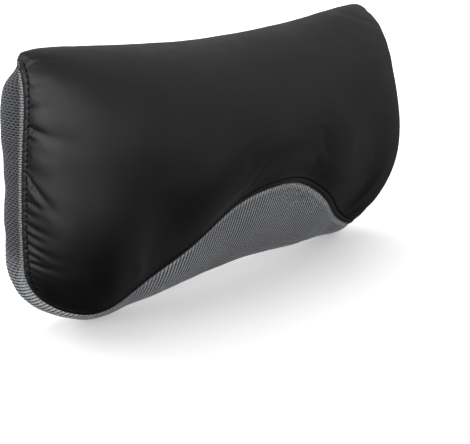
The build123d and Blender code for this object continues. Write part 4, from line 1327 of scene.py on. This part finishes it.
def make_topstitch():
    track, normals = stitch_track()
    bars = []
    for i in range(0, len(track) - 4, 4):
        start, end = track[i], track[i + 3]
        step = end - start
        # false for lost points too, whose length is NaN
        if 1.0 < np.linalg.norm(step) < 6.0:
            bars.append(stitch_bar(start + step * 0.02, end + step * 0.05, normals[i + 1]))
    thread = make_bars("topstitch_thread", bars, 6, MATERIALS["thread"])
    fit_to_pad(thread)


make_topstitch()

# ---------------------------------------------------------------- spacer-mesh strip
STRIP_START, STRIP_ROWS = 3.0, 132      # where it starts from a top corner; rows across it
FROM_END = np.minimum(SEAM_AT, SEAM_LEN - SEAM_AT)
REAR_EDGE = SEAM + ((rear_outline(SEAM) - SEAM)
                    * quarter_round((FROM_END - STRIP_START) / 15.0)[:, None])


def make_gusset():
    has_strip = FROM_END >= STRIP_START
    rear_run = REAR_EDGE[has_strip]
    run_length = arc_length(rear_run)
    count = int(round(run_length[-1] / (RIB / 4))) + 1
    along = np.linspace(0, run_length[-1], count)
    front = interp_columns(along, run_length, SEAM[has_strip])
    rear = interp_columns(along, run_length, rear_run)
    # the strip's front edge starts beneath the rolled leather
    under = EDGE_NORMALS[nearest_on(EDGE_POINTS, front)[1]]
    tucked = front - under * 1.5 * smooth(np.linalg.norm(rear - front, axis=1) / 8.0)[:, None]
    grid = bspline_sheet(gusset_controls(tucked, rear), np.linspace(0, 1, STRIP_ROWS))
    from_seam = running(np.linalg.norm(np.diff(grid, axis=0), axis=2))
    width = from_seam[-1]
    from_rear = width - from_seam
    normals = grid_normals(grid)
    if normals[STRIP_ROWS // 2, count // 2, 2] > 0:
        normals = -normals

    # the ribs crowd together up the two sides
    across, height = np.abs(front[:, 0]), front[:, 2]
    on_leg = np.where(across > HALF_W - 30, smooth((height - (LOW_SIDE - 30)) / 45), 0.0)
    crowding = 1 + 0.58 * on_leg
    rib_at = running(np.diff(along) * 0.5 * (crowding[1:] + crowding[:-1]))
    rib_at = np.broadcast_to(rib_at, (STRIP_ROWS, count))
    course_at = from_rear * (1 + 0.16 * on_leg)
    rib = rib_at / RIB
    in_rib = rib - np.floor(rib) - 0.5
    course = course_at / COURSE + np.floor(rib) % 2 * 0.5
    in_course = course - np.floor(course) - 0.5
    hole = 1 - smooth(((in_rib / 0.30) ** 2 + (in_course / 0.30) ** 2 - 0.2) / 1.3)
    relief = (0.55 - 0.38 * on_leg) * np.cos(2 * np.pi * rib) - (0.25 + 0.3 * on_leg) * hole
    relief *= smooth(from_seam / 3.0) * smooth(from_rear / 2.0)

    # slack of the cloth: soft waves along the strip, largest at its loose middle
    loose = np.sin(np.pi * np.clip(from_seam / np.maximum(width, 1), 0, 1))
    slack = (1.7 * value_noise(along, cell=34.0, seed=21)
             + 0.7 * value_noise(along, cell=13.0, seed=22))
    slack = slack * (1 - 0.6 * smooth((width - 40) / 40))
    at_side = across > HALF_W - 12
    upper_side = smooth((height - 20) / 40) * smooth((Z_TOP - 4 - height) / 14) * at_side
    belly = 4.2 + 1.8 * upper_side - 1.7 * bell((height - 26) / 17) * at_side
    free = smooth(width / 20.0) * smooth((Z_TOP - 2 - height) / 30.0)
    grid = grid + normals * (relief + loose * free * (belly + slack))[..., None]

    # on_leg and from_rear also place the painted shade of the mesh material
    leg = np.broadcast_to(on_leg, (STRIP_ROWS, count))
    strip = make_object(
        "mesh_gusset_soft", grid.reshape(-1, 3), grid_faces(STRIP_ROWS, count),
        MATERIALS["mesh"], attributes={
            "weave": np.stack([rib_at, course_at, from_seam], -1),
            "shade_and_weave_place": np.stack([leg, from_rear / np.maximum(width, 1.0), loose], -1)})

    def lowest_looks_up(body):
        return min(body.faces, key=lambda face: face.calc_center_median().z).normal.z > 0

    fix_normals(strip, lowest_looks_up, merge=2e-5)
    solidify(strip, 1.4)
    shade(strip, True)
    fit_to_pad(strip, "mesh_gusset")


make_gusset()


# ---------------------------------------------------------------- rear lining
def make_lining(points=560, rings=60):
    """Rings that shrink from the pad's rear outline to a rectangular window."""
    outline = np.concatenate([REAR_EDGE, LEATHER[0][::-1][1:-1]])
    closed = np.concatenate([outline, outline[:1]])
    outline = resample(closed, arc_length(closed)[-1] / points)[0][:-1]
    count = len(outline)
    edge, edge_y = outline[:, [0, 2]], outline[:, 1]
    centre, half = np.array([0.0, WINDOW_Z]), np.array(WINDOW_HALF)
    ray = unit(edge - centre)
    edge = edge - ray * 1.3
    to_window = np.min(half / np.maximum(np.abs(ray), 1e-9), axis=1, keepdims=True)
    window = centre + ray * to_window
    number = np.arange(count)
    waves = np.sin(number * 2 * np.pi * 47 / count + 1.7 * np.sin(number * 0.05))
    rows = []
    for k in range(rings):
        share = (k / (rings - 1)) ** 1.5
        place = edge * (1 - share) + window * share
        inward = np.linalg.norm(place - edge, axis=1)
        roll = smooth(inward / 16.0)
        y = (edge_y - 0.9) * (1 - roll) + (REAR_Y - 0.25) * roll
        y = np.where(edge_y > REAR_Y - 0.5,
                     REAR_Y - 0.9 * (1 - smooth(inward / 3.0)) - 0.2, y)
        ripple = 0.55 * waves * np.exp(-inward / 9.0) * smooth(inward / 2.0)
        beyond = np.maximum(np.abs(place - centre) - half, 0)
        soft = (-0.9 * smooth(inward / 25)
                * smooth((np.hypot(beyond[:, 0], beyond[:, 1]) - 12) / 20)
                * (0.5 + 0.5 * value_noise_2d(place[:, 0], place[:, 1], cell=55.0, seed=8)))
        off_zip = smooth((np.abs(place[:, 1] - ZIP_Z) - 9) / 6)
        y = y - 0.35 * np.abs(ripple) + soft * off_zip
        rows.append(np.stack([place[:, 0], y, place[:, 1]], -1))
    lining = make_object("rear_lining", np.concatenate(rows), tube_quads(rings, count),
                         MATERIALS["lining"])
    fix_normals(lining, faces_forward)
    solidify(lining, 1.0)
    fit_to_pad(lining, "rear_panel")


make_lining()

# ---------------------------------------------------------------- zip
COIL_PITCH, COIL_MARGIN, COIL_R = 1.5, 4, 0.30
# one tooth of the coil: x, y behind REAR_Y, and z from the zip's middle line
TOOTH = np.array([(0.35, 0.45, 1.75), (0.35, 1.55, 1.35), (0.30, 1.8, 0.35), (0.2, 1.15, -0.25)])


def make_zip():
    z, x = np.meshgrid(np.linspace(-TAPE_HALF, TAPE_HALF, 13),
                       np.linspace(-ZIP_HALF, ZIP_HALF, 301), indexing="ij")
    y = (REAR_Y + 0.15 + 0.12 * np.cos(z / TAPE_HALF * np.pi * 0.5)
         + 0.05 * np.sin(x * 2 * np.pi / 3.2) * (np.abs(z) > 4.5))
    tape = make_object("zip_tape", np.stack([x, y, z + ZIP_Z], -1).reshape(-1, 3),
                       grid_faces(*x.shape), MATERIALS["tape"])
    fix_normals(tape, faces_forward, recalc=False)
    solidify(tape, 0.45)
    bars = []
    x_axis = np.array([1.0, 0, 0])
    for k in range(int((2 * ZIP_HALF - 2 * COIL_MARGIN) / COIL_PITCH)):
        tooth_x = -ZIP_HALF + COIL_MARGIN + (k + 0.5) * COIL_PITCH
        for sign in (-1, 1):
            points = np.array([tooth_x, REAR_Y, ZIP_Z]) + TOOTH * [sign, 1, sign]
            steps = points[[1, 2, 3, 3]] - points[[0, 0, 1, 2]]
            bars.append((points, COIL_R, x_axis, unit(np.cross(steps, x_axis))))
    coil = make_bars("zip_coil", bars, 5, MATERIALS["zip_metal"])
    fit_to_pad(tape, "zip_chain")
    fit_to_pad(coil)


make_zip()


# ---------------------------------------------------------------- foam and wadding
def cut_box(obj, name, low, high, bevel):
    """Cuts a bevelled box, given in the pad's heights, out of an object."""
    low, high = (np.array(corner) + (0, 0, PAD_Z) for corner in (low, high))
    body = bmesh.new()
    bmesh.ops.create_cube(body, size=1.0)
    for vert in body.verts:
        vert.co = Vector((low + high) / 2 + np.array(vert.co) * (high - low)) * MM
    bmesh.ops.bevel(body, geom=body.edges[:], offset=bevel * MM, segments=3, affect="EDGES")
    mesh = bpy.data.meshes.new(name)
    body.to_mesh(mesh)
    body.free()
    cutter = link_object(name, mesh)
    modifier = obj.modifiers.new(name, "BOOLEAN")
    modifier.operation = "DIFFERENCE"
    modifier.solver = "EXACT"
    modifier.object = cutter
    apply_modifiers(obj)
    bpy.data.objects.remove(cutter)


def make_foam():
    stations = side_weighted(61, bend=0.55, half_width=HALF_W - 13.0)
    verts, faces = loft(body_sections(stations, 12.5), stations)
    # the foam's two top corners are rounded well below the tips of the cover
    verts[:, 2] -= (15.0 * smooth((np.abs(verts[:, 0]) - 176.0) / 38.0)
                    * smooth((verts[:, 2] - 35.0) / 36.0))
    foam = make_object("foam_core_soft", verts, faces, MATERIALS["foam"])
    fix_normals(foam)
    cut_box(foam, "cut_a", (-171.5, -57.4, -79.5), (171.5, -45.0, 83.5), bevel=1.0)
    cut_box(foam, "cut_b", (-62, -50, -82), (62, 0, 72), bevel=4.0)
    shade(foam, False)
    fit_to_pad(foam, "foam_core")


def make_wadding():
    """A puffy layer between the foam and the front of the cover."""
    stations = side_weighted(71, bend=0.55, half_width=HALF_W - 32.0)

    def sheet(inset):
        sections = body_sections(stations, inset)
        return np.array([[(x, y, z) for y, z in section[2:29]]
                         for x, section in zip(stations, sections)]).transpose(1, 0, 2)

    outer, inner = sheet(6.6), sheet(11.0)
    rows, columns = outer.shape[:2]
    count = rows * columns
    puff = 0.5 * value_noise_2d(outer[..., 0], outer[..., 2], cell=17.0, seed=31)
    outer[..., 1] += puff * 0.8
    index = np.arange(count).reshape(rows, columns)
    rim = np.concatenate([index[0], index[1:, -1], index[-1, -2::-1], index[-2:0:-1, 0]])
    after = np.roll(rim, -1)
    faces = [grid_faces(rows, columns), grid_faces(rows, columns, count, flip=True),
             np.stack([after, rim, rim + count, after + count], -1)]
    verts = np.concatenate([outer.reshape(-1, 3), inner.reshape(-1, 3)])
    wadding = make_object("fibre_wadding_soft", verts, np.concatenate(faces),
                          MATERIALS["wadding"])
    fix_normals(wadding)
    fit_to_pad(wadding, "fibre_wadding")


make_foam()
make_wadding()

# ---------------------------------------------------------------- camera
AZIMUTH, ELEVATION, ROLL = map(math.radians, (-49.58, 18.2, 2.34))
CAMERA_DISTANCE, LENS, SENSOR = 1165.3, 94.14030197, 36.0
CAMERA_TARGET = np.array([-1.335, -60.0, -71.46 + PAD_Z])


def make_camera():
    back = np.array([math.sin(AZIMUTH) * math.cos(ELEVATION),
                     -math.cos(AZIMUTH) * math.cos(ELEVATION), math.sin(ELEVATION)])
    level = np.array([math.cos(AZIMUTH), math.sin(AZIMUTH), 0.0])
    upright = np.cross(back, level)
    right = level * math.cos(ROLL) + upright * math.sin(ROLL)
    above = -level * math.sin(ROLL) + upright * math.cos(ROLL)
    position = (CAMERA_TARGET + back * CAMERA_DISTANCE) * MM
    data = bpy.data.cameras.new("camera")
    data.sensor_width = SENSOR
    data.lens = LENS
    camera = link_object("camera", data)
    rows = np.column_stack([right, above, back, position]).tolist()
    camera.matrix_world = Matrix(rows + [[0, 0, 0, 1]])
    bpy.context.scene.camera = camera


make_camera()


# ---------------------------------------------------------------- floor and studio light (metres)
def floor_material():
    """Pale floor that glows more with distance, so that it fades into the backdrop."""
    mat = Material("floor_pale")
    cloudy = mat.noise(scale=3.0, detail=3.0, rough=0.5)
    x, y, _z = mat.xyz(mat.coords())
    away = mat.math("SQRT", mat.add(mat.mul(x, x), mat.mul(y, y)))
    base = mat.mix(mat.span(cloudy, over=(0.3, 0.7)), (0.90, 0.90, 0.90), (0.92, 0.92, 0.92))
    return mat.finish(base_color=base, roughness=0.9, specular_ior_level=0.1,
                      emission_color=(1.0, 1.0, 1.0),
                      emission_strength=mat.span(away, over=(0.9, 2.6), to=(0.30, 0.66)))


def make_floor():
    body = bmesh.new()
    bmesh.ops.create_grid(body, x_segments=40, y_segments=40, size=6.0)
    mesh = bpy.data.meshes.new("floor")
    body.to_mesh(mesh)
    body.free()
    floor = link_object("floor", mesh)
    floor.location = (0, 0, CAD_BOX[0][2] - 0.0065)
    mesh.materials.append(floor_material())
    floor.visible_glossy = False
    floor.visible_diffuse = False


make_floor()

# name, location, the point it looks at, width and height, power in watts
SOFTBOXES = [
    ("left_soft", (-1.70, -0.25, 0.40), (-0.1, -0.06, 0.0), (1.7, 0.7), 9.0),
    ("front_soft", (-1.90, -1.35, 0.10), (0.0, -0.06, 0.0), (2.4, 0.9), 40.0),
    ("top_soft", (1.15, 0.55, 0.95), (0, -0.03, 0), (1.0, 0.8), 2.4),
    ("floor_soft", (-0.2, 0.9, 2.8), (0.1, 0.6, 0), (3.6, 3.2), 40.0),
    ("right_soft", (1.7, 0.45, 0.25), (0.1, 0.0, 0), (1.4, 1.0), 13.0),
    ("back_soft", (-0.2, 1.9, 0.45), (0, 0, 0), (1.8, 0.9), 34.0),
]
for name, location, target, size, power in SOFTBOXES:
    light = bpy.data.lights.new(name, "AREA")
    light.shape = "RECTANGLE"
    light.size, light.size_y = size
    light.energy = power
    softbox = bpy.data.objects.new(name, light)
    softbox.location = location
    direction = Vector(target) - Vector(location)
    softbox.rotation_euler = direction.to_track_quat("-Z", "Y").to_euler()
    softbox.visible_camera = False
    softbox.visible_glossy = False      # the sheen comes from the world's broad lobes
    bpy.context.scene.collection.objects.link(softbox)

# what the leather mirrors: broad diffusers round the object, as (direction, strength)
LOBES = [
    ((-1.00, 0.00, 0.00), 1.08), ((-0.75, 0.43, 0.50), 0.71), ((-0.87, 0.00, 0.50), 0.69),
    ((-0.25, -0.43, 0.87), 0.66), ((-0.00, -0.87, 0.50), 0.60), ((-0.43, -0.75, 0.50), 0.59),
    ((-0.75, -0.43, 0.50), 0.51), ((0.43, 0.75, 0.50), 0.45), ((0.87, 0.00, 0.50), 0.32),
    ((0.00, 0.87, 0.50), 0.24), ((0.75, -0.43, -0.50), 0.17), ((-0.87, -0.50, 0.00), 0.12),
    ((-0.87, 0.50, 0.00), 0.10), ((0.25, -0.43, 0.87), 0.06), ((0.87, -0.50, 0.00), 0.05),
]
LOBE_SHARPNESS = 7.0


def make_world():
    """Lobes for glossy rays, a glow from above for the others, and a plain pale backdrop."""
    world = bpy.data.worlds.new("studio")
    bpy.context.scene.world = world
    world.use_nodes = True
    net = Nodes(world.node_tree)
    background = net.tree.nodes["Background"]
    net.put(background.inputs[0], (1, 1, 1))
    ray = net.node("LightPath").outputs
    direction = net.node("TexCoord").outputs["Generated"]
    above = net.span(net.xyz(direction)[2], over=(-0.08, 0.6), to=(0.02, 0.56))
    glow = 0.0
    for lobe, strength in LOBES:
        length = math.sqrt(sum(c * c for c in lobe))
        facing = net.node("VectorMath", {0: direction, 1: tuple(c / length for c in lobe)},
                          operation="DOT_PRODUCT").outputs["Value"]
        falloff = net.math("MULTIPLY_ADD", facing, LOBE_SHARPNESS, -LOBE_SHARPNESS)
        glow = net.math("MULTIPLY_ADD", net.math("EXPONENT", falloff), strength, glow)
    glossy = ray["Is Glossy Ray"]
    light = net.add(net.mul(glow, glossy), net.mul(above, net.sub(1.0, glossy)))
    net.put(background.inputs[1], net.math("MAXIMUM", ray["Is Camera Ray"], light))


make_world()
bpy.context.scene.view_settings.view_transform = "Standard"

# ---------------------------------------------------------------- update
bpy.context.view_layer.update()
